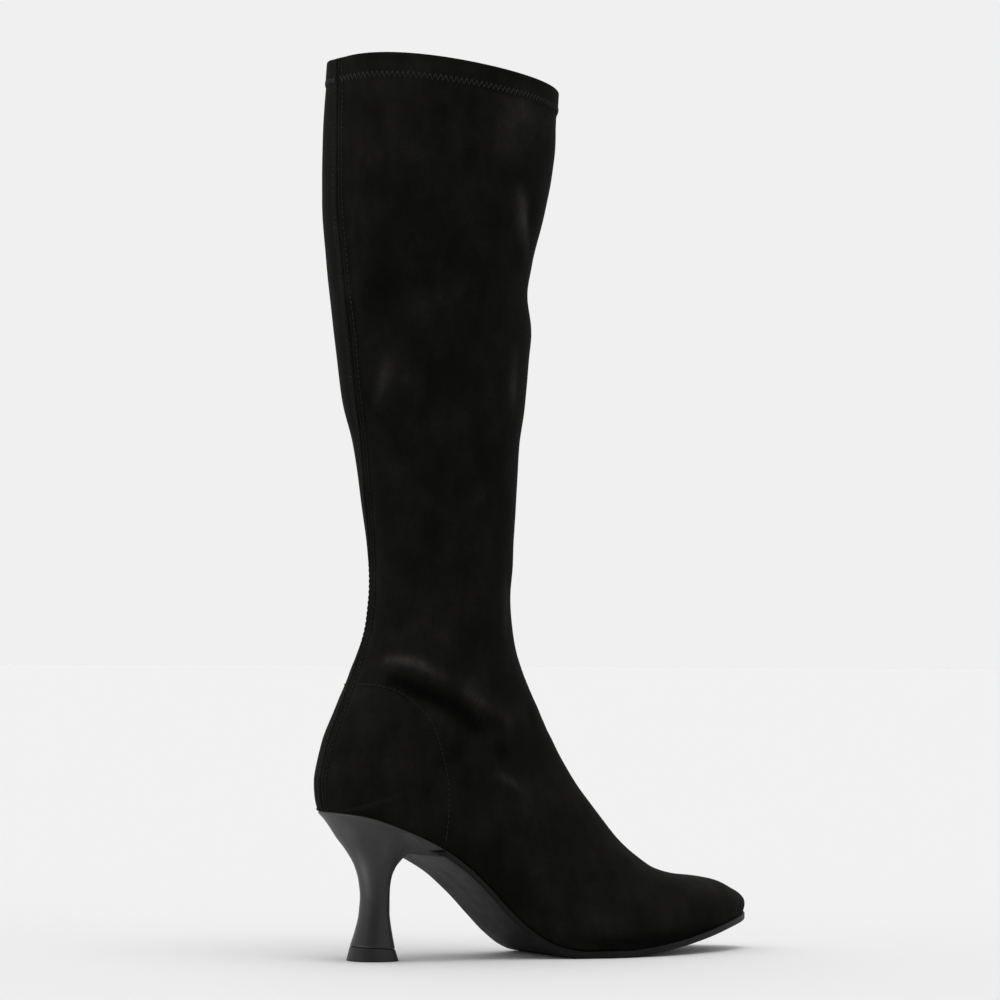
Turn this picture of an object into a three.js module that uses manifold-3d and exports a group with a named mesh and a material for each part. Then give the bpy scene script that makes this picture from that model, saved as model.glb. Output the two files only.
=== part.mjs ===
// A right knee-high stretch boot with a pointed toe and a spool heel, in millimetres.
// The origin is the middle of the heel tip's underside, +X points to the toe, +Y to the inner side, +Z up.
import * as THREE from 'three';
import { mergeVertices } from 'three/addons/utils/BufferGeometryUtils.js';
import Module from 'manifold-3d';

const wasm = await Module();
wasm.setup();

// Foot
const footLength = 246;        // back of the heel cup to the toe tip
const heelSetback = 28.6;      // back of the heel cup behind the middle of the heel tip
const ballWidth = 80;          // width of the foot at the ball, on the featherline
const heelRise = 73.6;         // back edge of the heel seat above the floor
const toeSpring = 15;          // underside of the outsole at the toe tip above the floor

// Shaft
const ankleRise = 111;         // ankle above the heel seat
const shaftLength = 256.6;     // ankle to the collar at the back seam
const ankleDepth = 72;         // front to back
const ankleWidth = 61;         // side to side
const collarDepth = 120;
const collarWidth = 98;
const collarDrop = 11.8;       // the collar is this much lower in front than behind
const collarArch = 0.8;        // the collar rises this much at both sides

// Wall of the upper
const wall = 1.6;
const hemDepth = 12;           // turned hem at the collar
const hemStep = 0.5;
const hemEase = 0.8;           // height over which the hem's step runs out
const seamFlat = 2.5;          // half width of the flat strip along the back seam
const seamRise = 0.5;

// Bottom
const soleThickness = 3.6;
const soleMargin = 1;          // the outsole's edge stands out past the featherline
const soleBevel = 0.9;
const insoleThickness = 2.5;
const insoleToeGap = 13;       // the insole ends this far behind the toe tip
const breastAlong = 53;        // heel breast in front of the back of the heel cup
const seatMargin = 0.5;        // the heel's top edge stands out past the featherline
const lipThickness = 1;        // heel's top edge at the breast, a lip over the end of the outsole
const rimThickness = 0.8;      // and behind
const neckDepth = 13.7;        // the spool heel at its narrowest
const neckWidth = 15;
const neckLean = 1.3;          // the neck stands this far in front of the middle of the tip
const baseDepth = 21;          // the spool heel above the tip
const baseWidth = 22;
const tipBack = 7;             // thickness of the heel tip behind
const tipFront = 5.6;          // and in front
const tipFlare = 1.7;          // the tip's underside is this much wider all round than its top
const clearance = 0.3;         // between pieces that touch on the real boot
const cutOut = 3;              // the hollow is cut this far past the collar and the featherline
const insoleHeelGap = 2;       // between the insole's back edge and the wall
const stationGap = 1;          // sections nearer than this to a square end are left out

// Fineness of the sections
const lowerSteps = 6;          // from the featherline to the widest place
const upperSteps = 9;          // from the widest place to the ridge
const heelSteps = 40;          // round the heel
const hemSearchSteps = 40;
const closeSeatRows = 4;       // rows at the seat that are close enough together
const closeToeRows = 4;        // and at the toe
const frontSquareness = 2.8;   // of the spool's front, where 2 would be an ellipse
const breastHollow = 3;        // how soon the heel draws in from its sides towards the breast

const ankleHeight = heelRise + ankleRise;
const ballHalf = ballWidth / 2;
const along = (share) => share * footLength - heelSetback;
const breastX = along(0) + breastAlong;

// Underside of the outsole. rise is a share of the heel rise, spring a share of the toe spring.
const bottomRows = [
  { along: 0.0, rise: 0.946, spring: 0 },
  { along: 0.0458, rise: 0.925, spring: 0 },
  { along: 0.1324, rise: 0.822, spring: 0 },
  { along: 0.2087, rise: 0.711, spring: 0 },
  { along: 0.277, rise: 0.575, spring: 0 },
  { along: 0.3258, rise: 0.435, spring: 0 },
  { along: 0.3767, rise: 0.268, spring: 0 },
  { along: 0.4175, rise: 0.146, spring: 0 },
  { along: 0.4582, rise: 0.058, spring: 0 },
  { along: 0.4989, rise: 0.012, spring: 0 },
  { along: 0.5295, rise: 0, spring: 0 },
  { along: 0.6206, rise: 0, spring: 0 },
  { along: 0.6595, rise: 0, spring: 0.05 },
  { along: 0.7374, rise: 0, spring: 0.21 },
  { along: 0.8249, rise: 0, spring: 0.46 },
  { along: 0.9222, rise: 0, spring: 0.77 },
  { along: 1.0, rise: 0, spring: 1 },
];

// Shaft, from the collar down. up is a share of the shaft length, centre of the foot length,
// depth and width say how far the section is from the ankle's size to the collar's. drift is how far the back
// seam wanders towards the inner side, as a share of half the ball width.
const shaftRows = [
  { up: 1.0, centre: 0.2685, depth: 0.965, width: 1.0, drop: 1, drift: -0.02 },
  { up: 0.838, centre: 0.258, depth: 0.97, width: 0.98, drop: 0.4, drift: -0.12 },
  { up: 0.733, centre: 0.249, depth: 0.88, width: 0.93, drop: 0.1, drift: -0.135 },
  { up: 0.62, centre: 0.239, depth: 0.68, width: 0.8, drop: 0, drift: -0.15 },
  { up: 0.55, centre: 0.237, depth: 0.58, width: 0.71, drop: 0, drift: -0.16 },
  { up: 0.464, centre: 0.2465, depth: 0.555, width: 0.62, drop: 0, drift: -0.17 },
  { up: 0.351, centre: 0.2515, depth: 0.45, width: 0.46, drop: 0, drift: -0.15 },
  { up: 0.265, centre: 0.2585, depth: 0.263, width: 0.3, drop: 0, drift: -0.02 },
  { up: 0.156, centre: 0.2645, depth: 0.137, width: 0.15, drop: 0, drift: 0.06 },
  { up: 0.066, centre: 0.268, depth: 0.042, width: 0.05, drop: -0.1, drift: 0.12 },
  { up: 0, centre: 0.268, depth: -0.02, width: 0, drop: -0.3, drift: 0.16 },
];

// Heel cup, from below the ankle down to the seat. back and front are shares of the foot length,
// up of the ankle's rise above the seat, top of the ankle height, wide of half the ball width,
// widest of the section's own length.
const cupRows = [
  { back: 0.1176, up: 0.838, front: 0.415, top: 0.948, wide: 0.75,
    widest: 0.5, crown: 2, drift: 0.16 },
  { back: 0.0913, up: 0.658, front: 0.4222, top: 0.883, wide: 0.765,
    widest: 0.47, crown: 2, drift: 0.1 },
  { back: 0.0509, up: 0.46, front: 0.4333, top: 0.824, wide: 0.775,
    widest: 0.43, crown: 1.98, drift: 0.03 },
  { back: 0.0166, up: 0.288, front: 0.4525, top: 0.7605, wide: 0.775,
    widest: 0.38, crown: 1.95, drift: -0.02 },
  { back: 0.0, up: 0.126, front: 0.477, top: 0.7005, wide: 0.77,
    widest: 0.345, crown: 1.92, drift: -0.03 },
  { back: 0.0024, up: 0.054, front: 0.491, top: 0.669, wide: 0.765,
    widest: 0.325, crown: 1.9, drift: -0.02 },
];

// Foot, from the back of the heel seat to the toe. outer and inner are the featherline's half widths
// and outerWide and innerWide the widest ones above it, as shares of half the ball width. axis is how far
// the section's middle lies towards the inner side.
const footRows = [
  { back: 0.0097, outer: 0.063, inner: 0.063, front: 0.5005, top: 0.644, outerWide: 0.76, innerWide: 0.76,
    widest: 0.31, crown: 1.88, axis: 0 },
  { back: 0.015, outer: 0.2, inner: 0.2, front: 0.507, top: 0.628, outerWide: 0.757, innerWide: 0.757,
    widest: 0.3, crown: 1.87, axis: 0 },
  { back: 0.0267, outer: 0.3375, inner: 0.3375, front: 0.515, top: 0.607, outerWide: 0.755, innerWide: 0.755,
    widest: 0.28, crown: 1.85, axis: 0 },
  { back: 0.0489, outer: 0.4825, inner: 0.4825, front: 0.526, top: 0.583, outerWide: 0.75, innerWide: 0.75,
    widest: 0.26, crown: 1.83, axis: 0 },
  { back: 0.0873, outer: 0.625, inner: 0.625, front: 0.54, top: 0.55, outerWide: 0.748, innerWide: 0.748,
    widest: 0.23, crown: 1.8, axis: 0 },
  { back: 0.1436, outer: 0.705, inner: 0.7, front: 0.56, top: 0.509, outerWide: 0.745, innerWide: 0.74,
    widest: 0.2, crown: 1.78, axis: 0 },
  { back: 0.2125, outer: 0.7, inner: 0.65, front: 0.5875, top: 0.457, outerWide: 0.738, innerWide: 0.71,
    widest: 0.18, crown: 1.76, axis: 0 },
  { back: 0.2851, outer: 0.645, inner: 0.51, front: 0.619, top: 0.407, outerWide: 0.725, innerWide: 0.65,
    widest: 0.18, crown: 1.75, axis: 0 },
  { back: 0.358, outer: 0.64, inner: 0.455, front: 0.653, top: 0.356, outerWide: 0.75, innerWide: 0.625,
    widest: 0.2, crown: 1.75, axis: 0 },
  { back: 0.4307, outer: 0.72, inner: 0.5, front: 0.6855, top: 0.309, outerWide: 0.825, innerWide: 0.68,
    widest: 0.2, crown: 1.78, axis: 0 },
  { back: 0.5115, outer: 0.875, inner: 0.68, front: 0.721, top: 0.268, outerWide: 0.95, innerWide: 0.825,
    widest: 0.18, crown: 1.82, axis: 0 },
  { back: 0.6004, outer: 0.99, inner: 0.9125, front: 0.766, top: 0.2295, outerWide: 1.0375, innerWide: 0.975,
    widest: 0.17, crown: 1.88, axis: 0.005 },
  { back: 0.6897, outer: 0.97, inner: 0.9675, front: 0.8207, top: 0.211, outerWide: 1.0, innerWide: 1.005,
    widest: 0.17, crown: 1.95, axis: 0.02 },
  { back: 0.7784, outer: 0.88, inner: 0.8825, front: 0.8735, top: 0.2035, outerWide: 0.9, innerWide: 0.905,
    widest: 0.17, crown: 2, axis: 0.055 },
  { back: 0.8595, outer: 0.7125, inner: 0.7125, front: 0.921, top: 0.192, outerWide: 0.725, innerWide: 0.73,
    widest: 0.17, crown: 2.05, axis: 0.075 },
  { back: 0.9251, outer: 0.5025, inner: 0.4975, front: 0.959, top: 0.1715, outerWide: 0.51, innerWide: 0.505,
    widest: 0.17, crown: 2.1, axis: 0.09 },
  { back: 0.9665, outer: 0.335, inner: 0.325, front: 0.985, top: 0.1555, outerWide: 0.34, innerWide: 0.33,
    widest: 0.18, crown: 2.1, axis: 0.1 },
  { back: 0.9885, outer: 0.19, inner: 0.185, front: 1.0, top: 0.14, outerWide: 0.195, innerWide: 0.19,
    widest: 0.2, crown: 2.1, axis: 0.105 },
  { back: 0.9965, outer: 0.085, inner: 0.085, front: 1.003, top: 0.129, outerWide: 0.0875, innerWide: 0.0875,
    widest: 0.2, crown: 2.1, axis: 0.105 },
];

// Spool heel, from its top edge down to the tip. down is a share of the height at that place, back, breast
// and side say how much of the seat's outline is left, swell how far the rest is from the neck to the base,
// lean how much of the neck's lean it has.
const spoolRows = [
  { down: 0.04, back: 0.88, breast: 0.3, side: 0.74, swell: 0.9, lean: 0.3 },
  { down: 0.1, back: 0.73, breast: 0.12, side: 0.5, swell: 0.75, lean: 0.5 },
  { down: 0.18, back: 0.58, breast: 0.03, side: 0.3, swell: 0.42, lean: 0.7 },
  { down: 0.28, back: 0.35, breast: 0, side: 0.14, swell: 0.18, lean: 0.8 },
  { down: 0.4, back: 0.14, breast: 0, side: 0.05, swell: 0.05, lean: 0.9 },
  { down: 0.52, back: 0.04, breast: 0, side: 0.01, swell: 0, lean: 1 },
  { down: 0.63, back: 0, breast: 0, side: 0, swell: 0, lean: 1 },
  { down: 0.76, back: 0, breast: 0, side: 0, swell: 0.17, lean: 1 },
  { down: 0.88, back: 0, breast: 0, side: 0, swell: 0.52, lean: 0.65 },
  { down: 1.0, back: 0, breast: 0, side: 0, swell: 1, lean: 0 },
];

// Smooth steps between the rows of a table, with no overshoot.
function between(values, place) {
  const last = values.length - 1;
  const i = Math.min(Math.floor(place), last - 1);
  const t = place - i;
  const slope = (k) => {
    if (k <= 0) return values[1] - values[0];
    if (k >= last) return values[last] - values[last - 1];
    const before = values[k] - values[k - 1];
    const after = values[k + 1] - values[k];
    return before * after > 0 ? (2 * before * after) / (before + after) : 0;
  };
  const t2 = t * t;
  const t3 = t2 * t;
  return (2 * t3 - 3 * t2 + 1) * values[i] + (t3 - 2 * t2 + t) * slope(i)
    + (3 * t2 - 2 * t3) * values[i + 1] + (t3 - t2) * slope(i + 1);
}

// Height of the outsole's underside over the floor at x.
const bottomX = bottomRows.map((row) => along(row.along));
const bottomZ = bottomRows.map((row) => row.rise * heelRise + row.spring * toeSpring);
function soleBottom(x) {
  const last = bottomX.length - 1;
  if (x <= bottomX[0]) return bottomZ[0];
  if (x >= bottomX[last]) return bottomZ[last];
  const i = bottomX.findIndex((value) => value > x) - 1;
  const slope = (k) => {
    const rise = (a, b) => (bottomZ[b] - bottomZ[a]) / (bottomX[b] - bottomX[a]);
    if (k <= 0) return rise(0, 1);
    if (k >= last) return rise(last - 1, last);
    const before = rise(k - 1, k);
    const after = rise(k, k + 1);
    return before * after > 0 ? (2 * before * after) / (before + after) : 0;
  };
  const span = bottomX[i + 1] - bottomX[i];
  const t = (x - bottomX[i]) / span;
  const t2 = t * t;
  const t3 = t2 * t;
  return (2 * t3 - 3 * t2 + 1) * bottomZ[i] + (t3 - 2 * t2 + t) * span * slope(i)
    + (3 * t2 - 2 * t3) * bottomZ[i + 1] + (t3 - t2) * span * slope(i + 1);
}
const soleTop = (x) => soleBottom(x) + soleThickness;
const featherZ = (x) => soleTop(x) + clearance;

// The three tables as rows of one kind, in millimetres.
function sectionRows() {
  const shaft = shaftRows.map((row) => {
    const depth = ankleDepth + row.depth * (collarDepth - ankleDepth);
    const half = (ankleWidth + row.width * (collarWidth - ankleWidth)) / 2;
    const z = ankleHeight + row.up * shaftLength;
    return { backX: along(row.centre) - depth / 2, backZ: z, frontX: along(row.centre) + depth / 2,
      frontZ: z - row.drop * collarDrop, outer: seamFlat, inner: seamFlat, outerWide: half, innerWide: half,
      widest: 0.5, crown: 2, axis: 0, arch: row.up > 0.5 ? (2 * row.up - 1) * collarArch : 0,
      drift: row.drift * ballHalf };
  });
  const cup = cupRows.map((row) => ({ backX: along(row.back), backZ: heelRise + row.up * ankleRise,
    frontX: along(row.front), frontZ: row.top * ankleHeight, outer: seamFlat, inner: seamFlat,
    outerWide: row.wide * ballHalf, innerWide: row.wide * ballHalf, widest: row.widest, crown: row.crown,
    axis: 0, arch: 0, drift: row.drift * ballHalf }));
  const foot = footRows.map((row) => ({ backX: along(row.back), backZ: featherZ(along(row.back)),
    frontX: along(row.front), frontZ: row.top * ankleHeight, outer: row.outer * ballHalf,
    inner: row.inner * ballHalf, outerWide: row.outerWide * ballHalf, innerWide: row.innerWide * ballHalf,
    widest: row.widest, crown: row.crown, axis: row.axis * ballHalf, arch: 0, drift: 0 }));
  return [...shaft, ...cup, ...foot];
}
const rows = sectionRows();
const footStart = shaftRows.length + cupRows.length;
const columns = Object.fromEntries(Object.keys(rows[0]).map((key) => [key, rows.map((row) => row[key])]));

// One section of the boot at a place between the rows.
function sectionAt(place) {
  const section = {};
  for (const key of Object.keys(columns)) section[key] = between(columns[key], place);
  section.onSole = place > footStart - 1e-6;
  if (section.onSole) section.backZ = featherZ(section.backX);
  return section;
}

// Place of the section whose back lies this far below the collar.
function hemPlace(depth) {
  let low = 0;
  let high = 2;
  for (let k = 0; k < hemSearchSteps; k += 1) {
    const middle = (low + high) / 2;
    if (columns.backZ[0] - between(columns.backZ, middle) < depth) low = middle;
    else high = middle;
  }
  return low;
}

// Places of the sections: the rows, with one more between two rows where the form turns quickly.
function sectionPlaces() {
  const list = [0, hemPlace(hemDepth), hemPlace(hemDepth + hemEase)];
  for (let k = 1; k < rows.length; k += 1) {
    const onShaft = k <= shaftRows.length;
    const closeAtSeat = k >= footStart && k < footStart + closeSeatRows;
    const closeAtToe = k >= rows.length - closeToeRows;
    if (!onShaft && !closeAtSeat && !closeAtToe) list.push(k - 0.5);
    list.push(k);
  }
  return list;
}
const places = sectionPlaces();
const sections = places.map(sectionAt);

// How far along the section, from its back or bottom, its outline lies at a distance y from the middle.
function backShare(section, y, side) {
  const narrow = side < 0 ? section.outer : section.inner;
  const wide = side < 0 ? section.outerWide : section.innerWide;
  const past = Math.max(Math.abs(y) - narrow, 0) / (wide - narrow);
  return section.widest * (1 - Math.sqrt(Math.max(1 - past ** 2, 0)));
}

// A point of a section. turn runs from 0 at the featherline or back seam to PI at the ridge; side is -1 on
// the outer side and 1 on the inner side.
function sectionPoint(section, turn, side) {
  const narrow = side < 0 ? section.outer : section.inner;
  const wide = side < 0 ? section.outerWide : section.innerWide;
  let share;
  let y;
  if (turn <= Math.PI / 2) {
    const start = narrow + side * section.drift;
    y = start + (wide - start) * Math.sin(turn);
    share = backShare(section, y, side);
  } else {
    share = section.widest + (1 - section.widest) * Math.abs(Math.cos(turn)) ** (2 / section.crown);
    y = wide * Math.abs(Math.sin(turn)) ** (2 / section.crown);
  }
  return new THREE.Vector3(
    section.backX + share * (section.frontX - section.backX),
    section.axis + side * y,
    section.backZ + share * (section.frontZ - section.backZ)
      + section.arch * Math.sin(turn) * (1 + Math.cos(turn)) ** 2,
  );
}

// The middle of the seam or of the bottom.
function middlePoint(section) {
  const share = backShare(section, section.drift, Math.sign(section.drift));
  return new THREE.Vector3(
    section.backX + share * (section.frontX - section.backX),
    section.axis + section.drift,
    section.backZ + share * (section.frontZ - section.backZ),
  );
}

const quarter = Math.PI / 2;
const turns = [];
for (let k = 0; k <= lowerSteps; k += 1) turns.push((quarter * k) / lowerSteps);
for (let k = 1; k < upperSteps; k += 1) turns.push(quarter + (quarter * k) / upperSteps);

// The points of one section, from its middle at the back or bottom over the inner side, the ridge and the
// outer side.
function ringOf(section) {
  const ring = [middlePoint(section)];
  for (const turn of turns) ring.push(sectionPoint(section, turn, 1));
  ring.push(new THREE.Vector3(section.frontX, section.axis, section.frontZ));
  for (const turn of [...turns].reverse()) ring.push(sectionPoint(section, turn, -1));
  return ring;
}
const rings = sections.map(ringOf);
const ringSize = rings[0].length;
const innerCorner = turns.indexOf(0) + 1;
const outerCorner = ringSize - 1;
const footStartRing = sections.findIndex((section) => section.onSole);

// Outward direction at each point of the wall.
function wallNormal(i, j) {
  const before = rings[Math.max(i - 1, 0)][j];
  const after = rings[Math.min(i + 1, rings.length - 1)][j];
  const down = new THREE.Vector3().subVectors(after, before);
  const left = rings[i][(j + ringSize - 1) % ringSize];
  const right = rings[i][(j + 1) % ringSize];
  const round = new THREE.Vector3().subVectors(right, left);
  return new THREE.Vector3().crossVectors(round, down).normalize();
}

// Outward direction of the featherline, level with the sole.
function featherNormal(i, side) {
  const corner = side > 0 ? innerCorner : outerCorner;
  const before = rings[Math.max(i - 1, footStartRing)][corner];
  const after = rings[Math.min(i + 1, rings.length - 1)][corner];
  const run = new THREE.Vector3().subVectors(after, before);
  return new THREE.Vector3(-run.y * side, run.x * side, 0).normalize();
}

// A closed mesh from rings of points; its two ends are closed by fans round their middles.
function loftGeometry(loops) {
  const size = loops[0].length;
  const positions = [];
  const index = [];
  for (const loop of loops) for (const point of loop) positions.push(point.x, point.y, point.z);
  for (let i = 0; i < loops.length - 1; i += 1) {
    for (let j = 0; j < size; j += 1) {
      const k = (j + 1) % size;
      const a = i * size + j;
      const b = i * size + k;
      const c = a + size;
      const d = b + size;
      index.push(a, b, c, b, d, c);
    }
  }
  const closeEnd = (loop, base, flip) => {
    const middle = new THREE.Vector3();
    for (const point of loop) middle.add(point);
    middle.divideScalar(size);
    const centre = positions.length / 3;
    positions.push(middle.x, middle.y, middle.z);
    for (let j = 0; j < size; j += 1) {
      const k = (j + 1) % size;
      if (flip) index.push(centre, base + j, base + k);
      else index.push(centre, base + k, base + j);
    }
  };
  closeEnd(loops[0], 0, false);
  closeEnd(loops[loops.length - 1], (loops.length - 1) * size, true);
  const geometry = new THREE.BufferGeometry();
  geometry.setAttribute('position', new THREE.Float32BufferAttribute(positions, 3));
  geometry.setIndex(index);
  return geometry;
}

function solidOf(geometry) {
  const plain = geometry.clone();
  plain.deleteAttribute('normal');
  plain.deleteAttribute('uv');
  const merged = mergeVertices(plain);
  return new wasm.Manifold(new wasm.Mesh({
    numProp: 3,
    vertProperties: new Float32Array(merged.attributes.position.array),
    triVerts: new Uint32Array(merged.index.array),
  }));
}

function geometryOf(solid) {
  const mesh = solid.getMesh();
  const geometry = new THREE.BufferGeometry();
  geometry.setAttribute('position', new THREE.Float32BufferAttribute(mesh.vertProperties, 3));
  geometry.setIndex(new THREE.Uint32BufferAttribute(mesh.triVerts, 1));
  return geometry;
}

// Outside of the upper: the sections with the hem's step and the raised back seam.
function outsideLoops() {
  return rings.map((ring, i) => ring.map((point, j) => {
    const inHem = i < 2;
    const onSeam = j === 0 && !sections[i].onSole;
    const lift = (inHem ? hemStep : 0) + (onSeam ? seamRise : 0);
    if (lift === 0) return point.clone();
    return point.clone().addScaledVector(wallNormal(i, j), lift);
  }));
}

// Inside of the upper: the sections moved in by the wall, drawn out past the collar and the featherline.
function insideLoops() {
  const lastRing = rings.length - 1;
  return rings.map((ring, i) => {
    const section = sections[i];
    const points = ring.map((point, j) => {
      const corner = j === innerCorner || j === outerCorner;
      let moved;
      if (section.onSole && corner) {
        moved = point.clone().addScaledVector(featherNormal(i, j === innerCorner ? 1 : -1), -wall);
      } else if (section.onSole && j === 0) {
        moved = point.clone();
      } else {
        moved = point.clone().addScaledVector(wallNormal(i, j), -wall);
      }
      if (i === 0) moved.z += cutOut;
      if (i === lastRing) moved.x -= wall;
      return moved;
    });
    const lower = (point) => {
      const low = point.clone();
      if (section.onSole) low.z -= cutOut;
      else low.lerp(points[0], 0.5);
      return low;
    };
    const bottom = points[0].clone();
    if (section.onSole) {
      bottom.z -= cutOut;
      bottom.x = (points[innerCorner].x + points[outerCorner].x) / 2;
    }
    return [bottom, lower(points[innerCorner]), ...points.slice(1), lower(points[outerCorner])];
  });
}

function upperGeometry() {
  const outside = solidOf(loftGeometry(outsideLoops()));
  const inside = solidOf(loftGeometry(insideLoops()));
  return geometryOf(outside.subtract(inside));
}

// The featherline from the heel's back to the toe, moved outward by a margin.
function featherEdge(side, margin) {
  const corner = side > 0 ? innerCorner : outerCorner;
  const points = [];
  for (let i = footStartRing; i < rings.length; i += 1) {
    const point = rings[i][corner].clone().addScaledVector(featherNormal(i, side), margin);
    points.push(point);
  }
  return points;
}

// Half width of an edge line at x.
function edgeY(points, x) {
  const i = Math.max(points.findIndex((point) => point.x > x), 1);
  const a = points[i - 1];
  const b = points[i];
  return a.y + ((b.y - a.y) * (x - a.x)) / (b.x - a.x);
}

// A thin piece that follows the sole line, between the two edge lines, from startX to endX.
function platedLoops(margin, startX, endX, sectionOf) {
  const inner = featherEdge(1, margin);
  const outer = featherEdge(-1, margin);
  const kept = (point) => point.x > startX + stationGap && point.x < endX;
  const innerKept = inner.filter(kept);
  const outerKept = outer.filter(kept);
  const edges = [[
    new THREE.Vector3(startX, edgeY(inner, startX), 0),
    new THREE.Vector3(startX, edgeY(outer, startX), 0),
  ]];
  for (let k = 0; k < Math.min(innerKept.length, outerKept.length); k += 1) {
    edges.push([innerKept[k], outerKept[k]]);
  }
  return edges.map(([a, b]) => sectionOf(a, b));
}

function outsoleGeometry() {
  const loops = platedLoops(soleMargin, breastX + clearance, Infinity, (a, b) => {
    const inset = (point, from) => point.clone().add(
      new THREE.Vector3().subVectors(from, point).setZ(0).setLength(soleBevel));
    const aLow = inset(a, b);
    const bLow = inset(b, a);
    return [
      new THREE.Vector3(a.x, a.y, soleTop(a.x)),
      new THREE.Vector3(b.x, b.y, soleTop(b.x)),
      new THREE.Vector3(b.x, b.y, soleBottom(b.x) + soleBevel),
      new THREE.Vector3(bLow.x, bLow.y, soleBottom(bLow.x)),
      new THREE.Vector3(aLow.x, aLow.y, soleBottom(aLow.x)),
      new THREE.Vector3(a.x, a.y, soleBottom(a.x) + soleBevel),
    ];
  });
  return loftGeometry(loops);
}

function insoleGeometry() {
  const inset = -(wall + clearance);
  const startX = along(0) + wall + clearance + insoleHeelGap;
  const loops = platedLoops(inset, startX, along(1) - insoleToeGap, (a, b) => [
    new THREE.Vector3(a.x, a.y, featherZ(a.x) + insoleThickness),
    new THREE.Vector3(b.x, b.y, featherZ(b.x) + insoleThickness),
    new THREE.Vector3(b.x, b.y, featherZ(b.x)),
    new THREE.Vector3(a.x, a.y, featherZ(a.x)),
  ]);
  return loftGeometry(loops);
}

// Outline of the heel seat as a distance from the heel's axis, at an angle from the toe's direction.
function seatPoint(angle) {
  const inner = featherEdge(1, seatMargin);
  const outer = featherEdge(-1, seatMargin);
  const outline = [
    new THREE.Vector3(breastX, edgeY(inner, breastX), 0),
    ...inner.filter((point) => point.x < breastX - stationGap).reverse(),
    ...outer.filter((point) => point.x < breastX - stationGap),
    new THREE.Vector3(breastX, edgeY(outer, breastX), 0),
  ];
  const direction = new THREE.Vector2(Math.cos(angle), Math.sin(angle));
  for (let i = 0; i < outline.length; i += 1) {
    const a = outline[i];
    const b = outline[(i + 1) % outline.length];
    const edgeX = b.x - a.x;
    const edgeYs = b.y - a.y;
    const cross = direction.x * edgeYs - direction.y * edgeX;
    if (Math.abs(cross) < 1e-9) continue;
    const reach = (a.x * edgeYs - a.y * edgeX) / cross;
    const share = (a.x * direction.y - a.y * direction.x) / cross;
    if (reach > 0 && share >= 0 && share <= 1) return direction.clone().multiplyScalar(reach);
  }
  return direction;
}

// Outline of the spool: round behind, squarer in front.
function spoolPoint(angle, depth, width) {
  const squareness = Math.cos(angle) > 0 ? 2 / frontSquareness : 1;
  const x = (depth / 2) * Math.sign(Math.cos(angle)) * Math.abs(Math.cos(angle)) ** squareness;
  const y = (width / 2) * Math.sign(Math.sin(angle)) * Math.abs(Math.sin(angle)) ** squareness;
  return new THREE.Vector2(x, y);
}

const heelAngles = Array.from({ length: heelSteps }, (_, k) => -((k + 0.5) * 2 * Math.PI) / heelSteps);
const heelLoop = (flat, heightOf) => flat.map(
  (point) => new THREE.Vector3(point.x, point.y, heightOf(point.x)),
);

function tipTop(x) {
  const share = (x + baseDepth / 2) / baseDepth;
  return tipBack + (tipFront - tipBack) * share;
}

// Underside of the heel's top edge: thin behind, thicker at the lip in front.
function rimBottom(x) {
  const share = (x - along(0)) / breastAlong;
  return soleTop(x) - rimThickness - (lipThickness - rimThickness) * share;
}

function heelGeometry() {
  const seat = heelAngles.map((angle) => seatPoint(angle));
  const base = heelAngles.map((angle) => spoolPoint(angle, baseDepth, baseWidth));
  const loops = [heelLoop(seat, soleTop), heelLoop(seat, rimBottom)];
  for (const row of spoolRows) {
    const depth = neckDepth + row.swell * (baseDepth - neckDepth);
    const width = neckWidth + row.swell * (baseWidth - neckWidth);
    loops.push(heelAngles.map((angle, k) => {
      const point = spoolPoint(angle, depth, width);
      point.x += row.lean * neckLean;
      const inFront = Math.cos(angle) > 0;
      const lengthwise = Math.cos(angle) ** 2;
      const sideways = (1 - lengthwise) ** (inFront ? breastHollow : 1);
      point.lerp(seat[k], (inFront ? row.breast : row.back) * lengthwise + row.side * sideways);
      const high = rimBottom(seat[k].x);
      const low = tipTop(base[k].x) + clearance;
      return new THREE.Vector3(point.x, point.y, high + (low - high) * row.down);
    }));
  }
  return loftGeometry(loops);
}

function tipGeometry() {
  const high = heelAngles.map((angle) => spoolPoint(angle, baseDepth, baseWidth));
  const low = heelAngles.map(
    (angle) => spoolPoint(angle, baseDepth + 2 * tipFlare, baseWidth + 2 * tipFlare),
  );
  return loftGeometry([heelLoop(high, tipTop), heelLoop(low, () => 0)]);
}

function meshOf(name, geometry, look) {
  const mesh = new THREE.Mesh(geometry, new THREE.MeshStandardMaterial(look));
  mesh.name = name;
  return mesh;
}

const boot = new THREE.Group();
boot.add(meshOf('upper', upperGeometry(), { color: 0x151413, roughness: 0.95, metalness: 0 }));
boot.add(meshOf('insole', insoleGeometry(), { color: 0x2a2724, roughness: 0.8, metalness: 0 }));
boot.add(meshOf('outsole', outsoleGeometry(), { color: 0x1e1e1f, roughness: 0.6, metalness: 0 }));
boot.add(meshOf('heel', heelGeometry(), { color: 0x262627, roughness: 0.4, metalness: 0 }));
boot.add(meshOf('heel_tip', tipGeometry(), { color: 0x1a1a1a, roughness: 0.75, metalness: 0 }));

export default boot;
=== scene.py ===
"""Looks for the right knee-high boot: fine surfaces, folds, stitches, materials, floor, lights and camera."""
import math

import bpy
import numpy as np
from mathutils import Matrix, Vector
from mathutils.bvhtree import BVHTree


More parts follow.
